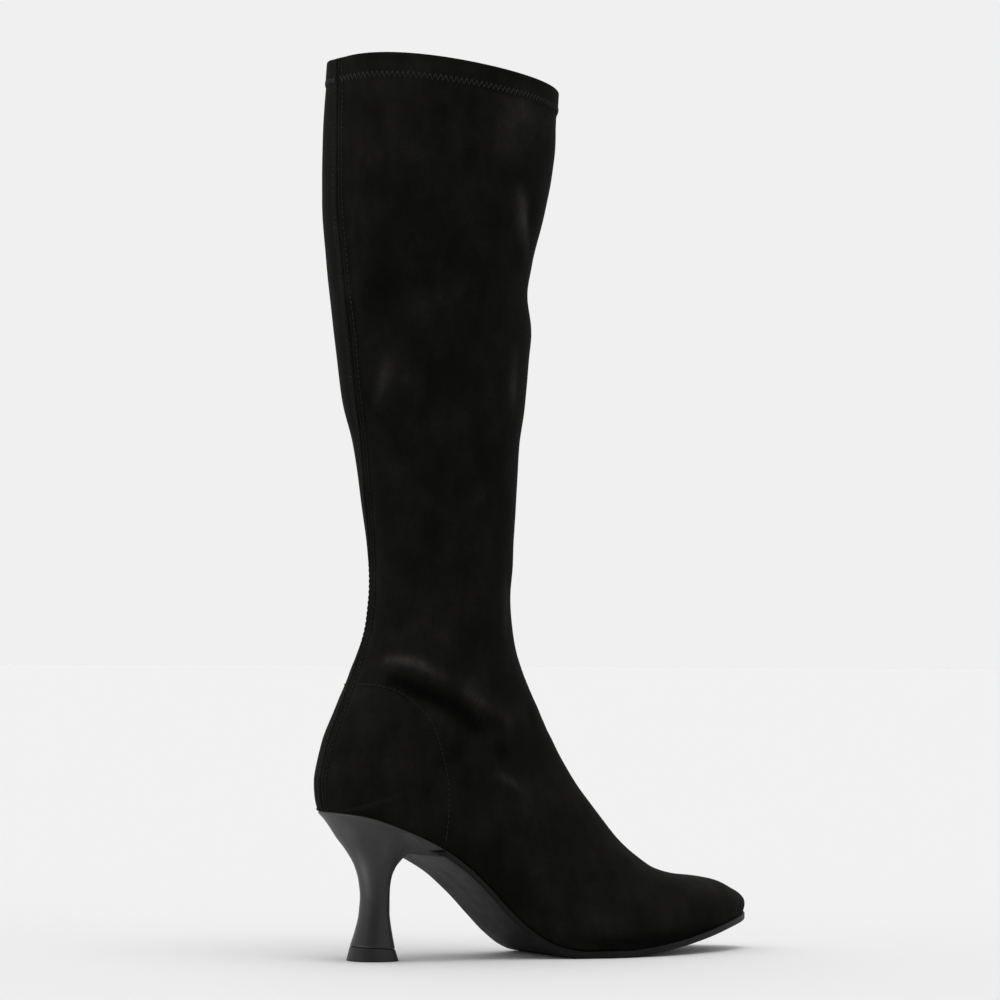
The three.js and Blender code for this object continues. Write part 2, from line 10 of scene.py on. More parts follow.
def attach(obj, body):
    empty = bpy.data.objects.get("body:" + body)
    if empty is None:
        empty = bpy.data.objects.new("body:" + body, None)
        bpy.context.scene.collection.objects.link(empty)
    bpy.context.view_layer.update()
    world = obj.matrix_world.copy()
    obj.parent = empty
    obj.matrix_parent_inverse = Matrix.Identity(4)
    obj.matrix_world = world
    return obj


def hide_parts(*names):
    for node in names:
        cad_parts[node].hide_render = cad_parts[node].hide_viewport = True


bl_info = {
    "name": "Knee-high boot",
    "version": (1, 0, 0),
    "blender": (4, 5, 0),
    "location": "3D View > Sidebar > Boot",
    "description": "Builds the visible surfaces of a knee-high suede boot",
    "category": "Object",
}

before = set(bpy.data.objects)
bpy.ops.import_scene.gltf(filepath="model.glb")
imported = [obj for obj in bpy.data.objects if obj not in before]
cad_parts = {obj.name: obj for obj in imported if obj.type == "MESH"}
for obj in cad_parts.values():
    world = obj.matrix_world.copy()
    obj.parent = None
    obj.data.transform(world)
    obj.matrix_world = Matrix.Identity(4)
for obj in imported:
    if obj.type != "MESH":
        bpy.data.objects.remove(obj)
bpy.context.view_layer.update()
MM = 0.001

# Sizes of the boot in millimetres, the same as the solids have.
FOOT_LENGTH = 246.0
HEEL_SETBACK = 28.6
BALL_HALF = 40.0
HEEL_RISE = 73.6
TOE_SPRING = 15.0
ANKLE_RISE = 111.0
SHAFT_LENGTH = 256.6
ANKLE_DEPTH = 72.0
ANKLE_WIDTH = 61.0
COLLAR_DEPTH = 120.0
COLLAR_WIDTH = 98.0
COLLAR_DROP = 11.8
COLLAR_ARCH = 0.8
WALL = 1.6
SEAM_FLAT = 2.5
SOLE_THICKNESS = 3.6
SOLE_MARGIN = 1.0
INSOLE_THICKNESS = 2.5
INSOLE_TOE_GAP = 13.0
BREAST_ALONG = 53.0
SEAT_MARGIN = 0.5
LIP_THICKNESS = 1.0
RIM_THICKNESS = 0.8
NECK_DEPTH = 13.7
NECK_WIDTH = 15.0
NECK_LEAN = 1.3
BASE_DEPTH = 21.0
BASE_WIDTH = 22.0
TIP_BACK = 7.0
TIP_FRONT = 5.6
TIP_FLARE = 1.7
FRONT_SQUARENESS = 2.8
BREAST_HOLLOW = 3
CLEARANCE = 0.3
ANKLE_HEIGHT = HEEL_RISE + ANKLE_RISE
BREAST_X = -HEEL_SETBACK + BREAST_ALONG

# Looks
HEM_DEPTH = 12.0       # turned hem at the collar
HEM_STITCH = 11.0      # middle of its zigzag below the edge
SEAM_ROW = 4.1         # each row of stitches beside the back seam, from its middle
TOE_PROUD = 0.9        # rounding of the toe's front, past the last section
ROW_STEP = 1.35        # between the rows of the upper's fine mesh
COLLAR_EDGE_DEPTHS = (0.0, 0.1, 0.35, 0.7, 1.1, 1.8, 2.8)
STRIP_SHARES = (0.0, 0.1, 0.22, 0.36, 0.5, 0.64, 0.78, 0.9)
THREAD_GUIDE = (0.31, 0.17, 0.93)    # no stitch lies along this direction
SUEDE_TONE_CONTRAST = 3.6     # how much lighter the suede is at a tone of 1, from random patches and from the painted highlight and shade
FLOOR_REACH = 40.0     # half the side of the floor, in metres

# Edges of the insole and the sole: inset from the outline, and height. Heights up to 0 are measured from the
# top and the others from the bottom.
INSOLE_PROFILE = ((8.0, -0.15), (3.0, 0.0), (1.0, -0.05), (0.3, -0.3), (0.0, -0.8), (0.0, 0.3), (0.3, 0.1),
                  (3.0, 0.001))
SOLE_PROFILE = ((5.0, -0.001), (0.55, -0.001), (0.2, -0.1), (0.05, -0.25), (0.0, -0.5), (0.0, 1.1),
                (0.12, 0.6), (0.4, 0.25), (0.9, 0.06), (1.6, 0.001), (6.0, 0.001))

# Camera, in metres and degrees
VIEW_TURN = 30.0
VIEW_DISTANCE = 2.0
VIEW_HEIGHT = 0.15
VIEW_ASIDE = 0.06147
VIEW_PITCH = 0.03775
VIEW_ROLL = 0.35
VIEW_LENS = 146.88

# Sky and suns: name, aside to the right, towards the camera, up, strength, angle of its disc in degrees, and
# the pieces that it lights
SKY = 0.871
SKY_DARK = 0.1
SUNS = (
    ("top_sun", 0.05, 0.1, 1.0, 0.8, 30.0, ("floor", "insole_sock", "outsole_edge", "upper_suede")),
    ("cloth_sun", -0.45, 0.9, 1.0, 3.0, 30.0,
     ("upper_suede", "hem_stitches", "seam_stitches", "counter_stitches")),
    ("heel_sun", -1.0, 0.5, -0.7, 1.7, 40.0, ("heel_spool",)),
)

BOTTOM_COLUMNS = ("along", "rise", "spring")
BOTTOM_ROWS = (
    (0.0, 0.946, 0),
    (0.0458, 0.925, 0),
    (0.1324, 0.822, 0),
    (0.2087, 0.711, 0),
    (0.277, 0.575, 0),
    (0.3258, 0.435, 0),
    (0.3767, 0.268, 0),
    (0.4175, 0.146, 0),
    (0.4582, 0.058, 0),
    (0.4989, 0.012, 0),
    (0.5295, 0, 0),
    (0.6206, 0, 0),
    (0.6595, 0, 0.05),
    (0.7374, 0, 0.21),
    (0.8249, 0, 0.46),
    (0.9222, 0, 0.77),
    (1.0, 0, 1),
)

SHAFT_COLUMNS = ("up", "centre", "depth", "width", "drop", "drift")
SHAFT_ROWS = (
    (1.0, 0.2685, 0.965, 1.0, 1, -0.02),
    (0.838, 0.258, 0.97, 0.98, 0.4, -0.12),
    (0.733, 0.249, 0.88, 0.93, 0.1, -0.135),
    (0.62, 0.239, 0.68, 0.8, 0, -0.15),
    (0.55, 0.237, 0.58, 0.71, 0, -0.16),
    (0.464, 0.2465, 0.555, 0.62, 0, -0.17),
    (0.351, 0.2515, 0.45, 0.46, 0, -0.15),
    (0.265, 0.2585, 0.263, 0.3, 0, -0.02),
    (0.156, 0.2645, 0.137, 0.15, 0, 0.06),
    (0.066, 0.268, 0.042, 0.05, -0.1, 0.12),
    (0, 0.268, -0.02, 0, -0.3, 0.16),
)

CUP_COLUMNS = ("back", "up", "front", "top", "wide", "widest", "crown", "drift")
CUP_ROWS = (
    (0.1176, 0.838, 0.415, 0.948, 0.75, 0.5, 2, 0.16),
    (0.0913, 0.658, 0.4222, 0.883, 0.765, 0.47, 2, 0.1),
    (0.0509, 0.46, 0.4333, 0.824, 0.775, 0.43, 1.98, 0.03),
    (0.0166, 0.288, 0.4525, 0.7605, 0.775, 0.38, 1.95, -0.02),
    (0.0, 0.126, 0.477, 0.7005, 0.77, 0.345, 1.92, -0.03),
    (0.0024, 0.054, 0.491, 0.669, 0.765, 0.325, 1.9, -0.02),
)

FOOT_COLUMNS = ("back", "outer", "inner", "front", "top", "outerWide", "innerWide", "widest", "crown", "axis")
FOOT_ROWS = (
    (0.0097, 0.063, 0.063, 0.5005, 0.644, 0.76, 0.76, 0.31, 1.88, 0),
    (0.015, 0.2, 0.2, 0.507, 0.628, 0.757, 0.757, 0.3, 1.87, 0),
    (0.0267, 0.3375, 0.3375, 0.515, 0.607, 0.755, 0.755, 0.28, 1.85, 0),
    (0.0489, 0.4825, 0.4825, 0.526, 0.583, 0.75, 0.75, 0.26, 1.83, 0),
    (0.0873, 0.625, 0.625, 0.54, 0.55, 0.748, 0.748, 0.23, 1.8, 0),
    (0.1436, 0.705, 0.7, 0.56, 0.509, 0.745, 0.74, 0.2, 1.78, 0),
    (0.2125, 0.7, 0.65, 0.5875, 0.457, 0.738, 0.71, 0.18, 1.76, 0),
    (0.2851, 0.645, 0.51, 0.619, 0.407, 0.725, 0.65, 0.18, 1.75, 0),
    (0.358, 0.64, 0.455, 0.653, 0.356, 0.75, 0.625, 0.2, 1.75, 0),
    (0.4307, 0.72, 0.5, 0.6855, 0.309, 0.825, 0.68, 0.2, 1.78, 0),
    (0.5115, 0.875, 0.68, 0.721, 0.268, 0.95, 0.825, 0.18, 1.82, 0),
    (0.6004, 0.99, 0.9125, 0.766, 0.2295, 1.0375, 0.975, 0.17, 1.88, 0.005),
    (0.6897, 0.97, 0.9675, 0.8207, 0.211, 1.0, 1.005, 0.17, 1.95, 0.02),
    (0.7784, 0.88, 0.8825, 0.8735, 0.2035, 0.9, 0.905, 0.17, 2, 0.055),
    (0.8595, 0.7125, 0.7125, 0.921, 0.192, 0.725, 0.73, 0.17, 2.05, 0.075),
    (0.9251, 0.5025, 0.4975, 0.959, 0.1715, 0.51, 0.505, 0.17, 2.1, 0.09),
    (0.9665, 0.335, 0.325, 0.985, 0.1555, 0.34, 0.33, 0.18, 2.1, 0.1),
    (0.9885, 0.19, 0.185, 1.0, 0.14, 0.195, 0.19, 0.2, 2.1, 0.105),
    (0.9965, 0.085, 0.085, 1.003, 0.129, 0.0875, 0.0875, 0.2, 2.1, 0.105),
)

SPOOL_COLUMNS = ("down", "back", "breast", "side", "swell", "lean")
SPOOL_ROWS = (
    (0.04, 0.88, 0.3, 0.74, 0.9, 0.3),
    (0.1, 0.73, 0.12, 0.5, 0.75, 0.5),
    (0.18, 0.58, 0.03, 0.3, 0.42, 0.7),
    (0.28, 0.35, 0, 0.14, 0.18, 0.8),
    (0.4, 0.14, 0, 0.05, 0.05, 0.9),
    (0.52, 0.04, 0, 0.01, 0, 1),
    (0.63, 0, 0, 0, 0, 1),
    (0.76, 0, 0, 0, 0.17, 1),
    (0.88, 0, 0, 0, 0.52, 0.65),
    (1.0, 0, 0, 0, 1, 0),
)


# Folds: height over the smooth form, half width, share of the length over which the ends fade, and the path.
CREASES = (
    (1.6, 4.5, 0.3, ((-8, -6.3, 140.8), (1.1, -19.9, 145.3), (10.9, -27.4, 143), (23, -30.7, 138.2),
                     (37.8, -29.4, 132.4), (58.1, -23.5, 121), (80.3, -15.1, 109.9))),
    (-2.2, 6.5, 0.35, ((-7.3, -15.2, 135.1), (1.3, -24.9, 132.3), (12.2, -30.2, 126.5), (26, -30.5, 119.7),
                       (41.7, -27.7, 108.9), (54.7, -24.9, 97))),
    (-1.2, 4.0, 0.5, ((73.3, -17, 121.4), (86.2, -9.9, 116.3))),
    (1.0, 3.5, 0.4, ((48.2, -26.4, 92.7), (60.6, -24.5, 87.6), (73.4, -23.3, 79.1))),
    (0.6, 5.0, 0.5, ((120.5, -16.3, 54.8), (144.7, -15.4, 43.8))),
    (1.5, 4.0, 0.4, ((54, -45, 383), (57, -43, 370), (60, -40, 357), (66, -32, 339))),
    (0.9, 5.0, 0.5, ((-5, -30, 313), (-6, -27, 299), (-8, -20, 278))),
    (1.5, 13.0, 0.5, ((56, -37, 318), (72, -25, 314), (81, -8, 310), (82, 8, 308))),
    (1.0, 10.0, 0.5, ((62, -42, 404), (80, -26, 402), (90, -8, 400))),
    (0.9, 9.0, 0.5, ((58, -25, 192), (68, -14, 191), (72, 0, 190))),
    (-0.9, 4.5, 0.5, ((68, -40, 380), (66, -38, 366), (69, -33, 354))),
    (1.4, 4.5, 0.3, ((-8, 7, 139), (2, 21, 142), (13, 28.5, 140), (26, 31, 134), (41, 29, 127),
                     (60, 24, 117))),
    (-1.9, 6.5, 0.35, ((-7, 15, 133), (3, 26, 130), (15, 31, 124), (30, 30.5, 116), (46, 27, 104))),
    (0.9, 4.0, 0.4, ((50, 26, 91), (63, 24, 85), (76, 22, 76))),
    (1.3, 7.0, 0.35, ((20, 45, 395), (34, 44, 372), (50, 40, 350), (62, 33, 330))),
    (-1.7, 8.0, 0.35, ((42, 46, 402), (56, 42, 380), (68, 36, 356))),
    (-1.4, 7.0, 0.35, ((14, 42, 352), (28, 41, 334), (46, 36, 318), (60, 29, 306))),
    (1.1, 7.0, 0.4, ((22, 37, 322), (38, 36, 304), (54, 31, 288))),
    (-1.1, 7.0, 0.4, ((18, 34, 296), (34, 33, 280), (50, 29, 268))),
)


# Painted highlight and shade on the suede, along the folds and in soft patches: how much lighter or darker,
# half width, share of the length over which the ends fade, and path
PAINTED_LIGHT_AND_SHADE = (
    (0.8, 17, 0.5, ((25, -48, 406), (45, -48, 409), (66, -42, 410), (73, -38, 398))),
    (1.6, 4.6, 0.5, ((54, -45, 388), (57, -43, 370), (60, -40, 357), (66, -32, 339))),
    (-0.5, 4, 0.4, ((65, -40, 380), (65, -38, 366), (69, -33, 354))),
    (-0.5, 9, 0.4, ((-12, -31, 374), (-11, -28, 345), (-11, -25, 321), (-11, -19, 297))),
    (0.2, 9, 0.4, ((-21, -11, 424), (-22, -14, 404), (-22, -15, 385))),
    (1.1, 3.8, 0.5, ((-5, -30, 308), (-6, -26, 294), (-9, -20, 276), (-12, -15, 262))),
    (-0.3, 9, 0.4, ((7, -37, 311), (12, -36, 287), (16, -33, 259))),
    (0.3, 7, 0.4, ((39, -42, 313), (42, -39, 284), (42, -36, 254))),
    (1.2, 4.6, 0.5, ((58, -36, 308), (59, -34, 285), (60, -30, 260))),
    (-0.25, 10, 0.5, ((14, -29, 234), (17, -27, 205), (22, -27, 176))),
    (0.9, 4.4, 0.5, ((60, -26, 216), (63, -21, 177), (62, -22, 137))),
    (1.25, 3.0, 0.2, ((-6, -10, 143), (-1, -17, 147), (6, -24, 146), (18, -30, 140), (35, -30, 132),
                      (50, -26, 124), (62, -22, 118), (71, -17, 114))),
    (-1.8, 3.0, 0.12, ((-4, -17, 139), (7, -28, 133), (23, -31, 126), (39, -29, 118), (47, -27, 110))),
    (-0.7, 6, 0.5, ((25, -30, 107), (32, -29, 104), (39, -28, 102))),
    (-0.6, 5, 0.5, ((52, -26, 102), (58, -24, 103), (63, -23, 106))),
    (0.45, 4.5, 0.5, ((54, -25, 116), (63, -23, 113), (72, -20, 111))),
    (1.2, 2.4, 0.5, ((52, -26, 93), (62, -25, 88), (73, -23, 81))),
    (0.25, 13, 0.5, ((-18, -18, 106), (-1, -29, 98), (16, -30, 90))),
    (-0.4, 11, 0.5, ((39, -29, 54), (59, -29, 37), (80, -32, 18))),
    (-0.9, 2.8, 0.3, ((87, -33, 11), (112, -40, 8), (142, -39, 9), (174, -30, 12), (200, -16, 17))),
    (0.2, 9, 0.5, ((97, -16, 83), (119, -19, 55), (140, -23, 40))),
    (0.25, 8, 0.5, ((169, -25, 32), (184, -25, 28), (196, -20, 23))),
    (-0.5, 3, 0.5, ((75, -18, 118), (81, -15, 115), (86, -13, 112))),
    (0.7, 3, 0.3, ((-6, 10, 142), (2, 21, 143), (13, 28, 141), (26, 31, 135), (41, 29, 128), (58, 24, 118))),
    (-1.1, 5, 0.3, ((-4, 17, 136), (6, 26, 131), (20, 31, 124), (36, 30, 114), (46, 27, 106))),
    (0.6, 3, 0.5, ((50, 26, 92), (63, 24, 86), (76, 22, 77))),
    (0.5, 6, 0.4, ((20, 46, 395), (34, 45, 372), (50, 41, 350), (62, 34, 330))),
    (-0.5, 8, 0.4, ((42, 46, 402), (56, 43, 380), (68, 37, 356))),
    (-0.4, 8, 0.4, ((14, 42, 352), (28, 41, 334), (46, 37, 318), (60, 30, 306))),
    (0.4, 6, 0.4, ((22, 38, 322), (38, 37, 304), (54, 32, 288))),
    (-0.4, 11, 0.5, ((39, 27, 54), (59, 24, 37), (80, 29, 18))),
)


def columns(names, rows):
    """A table as one array for each of its named columns."""
    return {name: np.array([row[k] for row in rows], float) for k, name in enumerate(names)}


def along(share):
    """Place along the foot, from the back of the heel cup, as x."""
    return np.asarray(share, float) * FOOT_LENGTH - HEEL_SETBACK


def smooth(knots, values, place):
    """Smooth steps between the rows of a table, with no overshoot."""
    knots = np.asarray(knots, float)
    values = np.asarray(values, float)
    place = np.clip(np.asarray(place, float), knots[0], knots[-1])
    i = np.clip(np.searchsorted(knots, place, side="right") - 1, 0, len(knots) - 2)
    steps = np.diff(values) / np.diff(knots)
    slopes = np.empty(len(values))
    slopes[0] = steps[0]
    slopes[-1] = steps[-1]
    before = steps[:-1]
    after = steps[1:]
    product = before * after
    total = np.where(before + after == 0, 1, before + after)
    slopes[1:-1] = np.where(product > 0, 2 * product / total, 0)
    span = knots[i + 1] - knots[i]
    t = (place - knots[i]) / span
    return ((2 * t**3 - 3 * t**2 + 1) * values[i] + (t**3 - 2 * t**2 + t) * span * slopes[i]
            + (3 * t**2 - 2 * t**3) * values[i + 1] + (t**3 - t**2) * span * slopes[i + 1])


BOTTOM = columns(BOTTOM_COLUMNS, BOTTOM_ROWS)
BOTTOM_X = along(BOTTOM["along"])
BOTTOM_Z = BOTTOM["rise"] * HEEL_RISE + BOTTOM["spring"] * TOE_SPRING


def sole_bottom(x):
    return smooth(BOTTOM_X, BOTTOM_Z, x)


def sole_top(x):
    return sole_bottom(x) + SOLE_THICKNESS


def feather_z(x):
    return sole_top(x) + CLEARANCE


def insole_top(x):
    return feather_z(x) + INSOLE_THICKNESS


def section_columns():
    """The three tables of sections as one set of columns in millimetres."""
    shaft = columns(SHAFT_COLUMNS, SHAFT_ROWS)
    cup = columns(CUP_COLUMNS, CUP_ROWS)
    foot = columns(FOOT_COLUMNS, FOOT_ROWS)
    middle = along(shaft["centre"])
    depth = ANKLE_DEPTH + shaft["depth"] * (COLLAR_DEPTH - ANKLE_DEPTH)
    half = (ANKLE_WIDTH + shaft["width"] * (COLLAR_WIDTH - ANKLE_WIDTH)) / 2
    height = ANKLE_HEIGHT + shaft["up"] * SHAFT_LENGTH
    arch = np.where(shaft["up"] > 0.5, (2 * shaft["up"] - 1) * COLLAR_ARCH, 0)
    no_shaft, no_cup, no_foot = (np.zeros(len(rows)) for rows in (SHAFT_ROWS, CUP_ROWS, FOOT_ROWS))
    parts = {
        "back_x": (middle - depth / 2, along(cup["back"]), along(foot["back"])),
        "back_z": (height, HEEL_RISE + cup["up"] * ANKLE_RISE, feather_z(along(foot["back"]))),
        "front_x": (middle + depth / 2, along(cup["front"]), along(foot["front"])),
        "front_z": (height - shaft["drop"] * COLLAR_DROP, cup["top"] * ANKLE_HEIGHT,
                    foot["top"] * ANKLE_HEIGHT),
        "outer": (no_shaft + SEAM_FLAT, no_cup + SEAM_FLAT, foot["outer"] * BALL_HALF),
        "inner": (no_shaft + SEAM_FLAT, no_cup + SEAM_FLAT, foot["inner"] * BALL_HALF),
        "outer_wide": (half, cup["wide"] * BALL_HALF, foot["outerWide"] * BALL_HALF),
        "inner_wide": (half, cup["wide"] * BALL_HALF, foot["innerWide"] * BALL_HALF),
        "widest": (no_shaft + 0.5, cup["widest"], foot["widest"]),
        "crown": (no_shaft + 2.0, cup["crown"], foot["crown"]),
        "axis": (no_shaft, no_cup, foot["axis"] * BALL_HALF),
        "arch": (arch, no_cup, no_foot),
        "drift": (shaft["drift"] * BALL_HALF, cup["drift"] * BALL_HALF, no_foot),
    }
    return {key: np.concatenate(values) for key, values in parts.items()}


SECTIONS = section_columns()
ROW_COUNT = len(SECTIONS["axis"])
FOOT_START = len(SHAFT_ROWS) + len(CUP_ROWS)


def is_on_sole(place):
    """Whether a place between the rows lies on the sole, past the heel cup."""
    return np.asarray(place) >= FOOT_START - 1e-6


def section_at(place):
    """One section, or an array of them, at a place between the rows."""
    knots = np.arange(ROW_COUNT)
    section = {key: smooth(knots, values, place) for key, values in SECTIONS.items()}
    section["back_z"] = np.where(is_on_sole(place), feather_z(section["back_x"]), section["back_z"])
    return section


def back_share(s, y, side):
    """How far along a section, from its back or bottom, its outline lies at a distance y from the middle."""
    narrow = np.where(side < 0, s["outer"], s["inner"])
    wide = np.where(side < 0, s["outer_wide"], s["inner_wide"])
    past = np.maximum(np.abs(y) - narrow, 0) / (wide - narrow)
    return s["widest"] * (1 - np.sqrt(np.maximum(1 - past**2, 0)))


def section_point(place, turn, side, strip=1.0):
    """Points of the upper's outside. turn runs from 0 at the featherline or seam to pi at the ridge, and
    strip from 0 in the middle of the seam or bottom to 1 at its edge."""
    s = section_at(place)
    narrow = np.where(side < 0, s["outer"], s["inner"])
    wide = np.where(side < 0, s["outer_wide"], s["inner_wide"])
    low = turn <= math.pi / 2
    cosine = np.abs(np.cos(turn))
    sine = np.abs(np.sin(turn))
    power = 2 / s["crown"]
    start = narrow * strip + side * s["drift"]
    low_y = start + (wide - start) * sine
    share = np.where(low, back_share(s, low_y, side), s["widest"] + (1 - s["widest"]) * cosine**power)
    y = np.where(low, low_y, wide * sine**power)
    arch = s["arch"] * sine * (1 + np.cos(turn)) ** 2
    return np.stack([
        s["back_x"] + share * (s["front_x"] - s["back_x"]),
        s["axis"] + side * y,
        s["back_z"] + share * (s["front_z"] - s["back_z"]) + arch,
    ], -1)


def place_at_height(height):
    """Place of the shaft's or heel cup's section whose back lies at this height."""
    places = np.linspace(0, FOOT_START, 1200)
    heights = section_at(places)["back_z"]
    return float(np.interp(-height, -heights, places))


def run_along(path):
    """Distance along a path of straight pieces at each of its points."""
    return np.concatenate([[0], np.cumsum(np.linalg.norm(np.diff(path, axis=0), axis=1))])


def point_along(place, run, path):
    return np.array([np.interp(place, run, path[:, k]) for k in range(3)])


def distance_to_path(points, path):
    """Distance of each point from a path of straight pieces, and how far along it its nearest place is."""
    starts = run_along(path)
    lengths = np.diff(starts)
    best = np.full(len(points), 1e9)
    where = np.zeros(len(points))
    for k, length in enumerate(lengths):
        run = (path[k + 1] - path[k]) / length
        t = np.clip((points - path[k]) @ run, 0, length)
        gap = np.linalg.norm(points - path[k] - t[:, None] * run, axis=1)
        closer = gap < best
        best[closer] = gap[closer]
        where[closer] = (starts[k] + t[closer]) / starts[-1]
    return best, where


def rounded_path(path, step=3.0):
    """A path of given points made smooth, with a point every few millimetres."""
    path = np.asarray(path, float)
    knots = np.arange(len(path))
    count = max(int(run_along(path)[-1] / step), 4)
    fine = np.linspace(0, len(path) - 1, count)
    return np.stack([smooth(knots, path[:, k], fine) for k in range(3)], 1)


def soft_strokes(points, strokes):
    """Sum of soft strokes at each point: the folds' height in millimetres, or the painted highlight and shade
    on the suede.
    """
    total = np.zeros(len(points))
    for amount, width, fade, path in strokes:
        gap, where = distance_to_path(points, rounded_path(path))
        ends = np.clip(np.minimum(where, 1 - where) / fade, 0, 1)
        total += amount * np.exp(-((gap / width) ** 2)) * (ends * ends * (3 - 2 * ends))
    return total


def scene_object(name, data):
    """A new object of the scene around a mesh, light or camera."""
    obj = bpy.data.objects.new(name, data)
    bpy.context.scene.collection.objects.link(obj)
    return obj


def mesh_object(name, points, faces, material, smooth_faces=True):
    """A new mesh object from points in millimetres."""
    mesh = bpy.data.meshes.new(name)
    mesh.from_pydata((np.asarray(points) * MM).tolist(), [], [tuple(face) for face in faces])
    mesh.validate()
    mesh.materials.append(material)
    if smooth_faces:
        mesh.polygons.foreach_set("use_smooth", [True] * len(mesh.polygons))
    mesh.update()
    return scene_object(name, mesh)


def grid_faces(rows, cols, base=0, keep=None):
    """Quads between the rings of a grid of points; keep says which ones stay."""
    faces = []
    for i in range(rows - 1):
        for j in range(cols):
            if keep is None or keep(i, j):
                a = base + i * cols + j
                b = base + i * cols + (j + 1) % cols
                faces.append((a, b, b + cols, a + cols))
    return faces


def grid_normals(grid):
    """Outward directions of a closed grid of rings, from its own points."""
    down = np.gradient(grid, axis=0)
    normal = np.cross(np.roll(grid, -1, axis=1) - np.roll(grid, 1, axis=1), down)
    return normal / (np.linalg.norm(normal, axis=2, keepdims=True) + 1e-9)


# Upper

def upper_rows():
    """Places of the upper's fine rows: close together at the collar's rolled edge, then an even step."""
    height = section_at(0.0)["back_z"]
    edge = [place_at_height(height - depth) for depth in COLLAR_EDGE_DEPTHS]
    dense = np.linspace(edge[-1], ROW_COUNT - 1, 4000)
    section = section_at(dense)
    steps = [np.hypot(np.diff(section[end + "_x"]), np.diff(section[end + "_z"]))
             for end in ("front", "back")]
    run = np.concatenate([[0], np.cumsum(np.maximum(*steps))])
    even = np.interp(np.linspace(0, run[-1], int(run[-1] / ROW_STEP)), run, dense)
    return np.concatenate([edge[:-1], even])


def upper_columns():
    """Columns round a section: share of the seam strip, turn and side of each."""
    turns = np.concatenate([np.linspace(0, math.pi / 2, 27), np.linspace(math.pi / 2, math.pi, 33)[1:-1]])
    half = [(share, 0.0) for share in STRIP_SHARES[1:]] + [(1.0, turn) for turn in turns]
    one_side = [(share, turn, 1.0) for share, turn in half]
    other_side = [(share, turn, -1.0) for share, turn in reversed(half)]
    return np.array([(0.0, 0.0, 1.0), *one_side, (1.0, math.pi, 1.0), *other_side])


def upper_base(places, cols):
    """Smooth outside of the upper at each place and column."""
    place = places[:, None] + np.zeros((1, len(cols)))
    share, turn, side = (cols[:, k][None, :] + 0 * place for k in range(3))
    return section_point(place, turn, side, share)


def seam_relief(places, cols, grid):
    """The raised back seam, with its groove in the middle and a dip under each row of stitches."""
    s = section_at(places[:, None])
    aside = np.abs(grid[..., 1] - s["axis"] - s["drift"])
    behind = (cols[:, 1][None, :] < 0.7) & (places[:, None] < FOOT_START - 0.02)
    swell = 0.75 * np.exp(-((aside / 3.4) ** 4)) - 1.15 * np.exp(-((aside / 0.55) ** 2))
    dips = 0.22 * np.exp(-(((aside - SEAM_ROW) / 0.7) ** 2))
    return np.where(behind, swell - dips, 0)


def hem_relief(depth):
    """The turned hem: thicker near the edge, drawn in under its stitches."""
    step = 0.5 / (1 + np.exp((depth - HEM_DEPTH) / 0.35))
    groove = 0.28 * np.exp(-(((depth - HEM_STITCH) / 1.9) ** 2))
    return step - groove


def soft_waves(points):
    """Slight unevenness of the stretched cloth."""
    x, y, z = points[..., 0], points[..., 1], points[..., 2]
    waves = np.sin(z / 17.0 + y / 15.0) * np.sin(x / 23.0 - z / 41.0 + 1.1)
    waves += 0.6 * np.sin(z / 9.5 - x / 13.0 + 2.3) * np.sin(y / 11.0 + z / 29.0)
    waves += 0.4 * np.sin(x / 7.0 + z / 12.0 + 0.4) * np.sin(z / 6.1 - y / 8.3)
    return 0.16 * waves


def collar_depth_of(grid):
    """Distance below the collar's edge, along each column."""
    steps = np.linalg.norm(np.diff(grid, axis=0), axis=2)
    return np.concatenate([np.zeros((1, grid.shape[1])), np.cumsum(steps, axis=0)], 0)


def rolled_in(depth, radius):
    """How far the collar's rolled edge draws in at each depth below it."""
    roll = np.clip(radius - depth, 0, None)
    return np.where(depth < radius, radius - np.sqrt(np.clip(radius**2 - roll**2, 0, None)), 0)


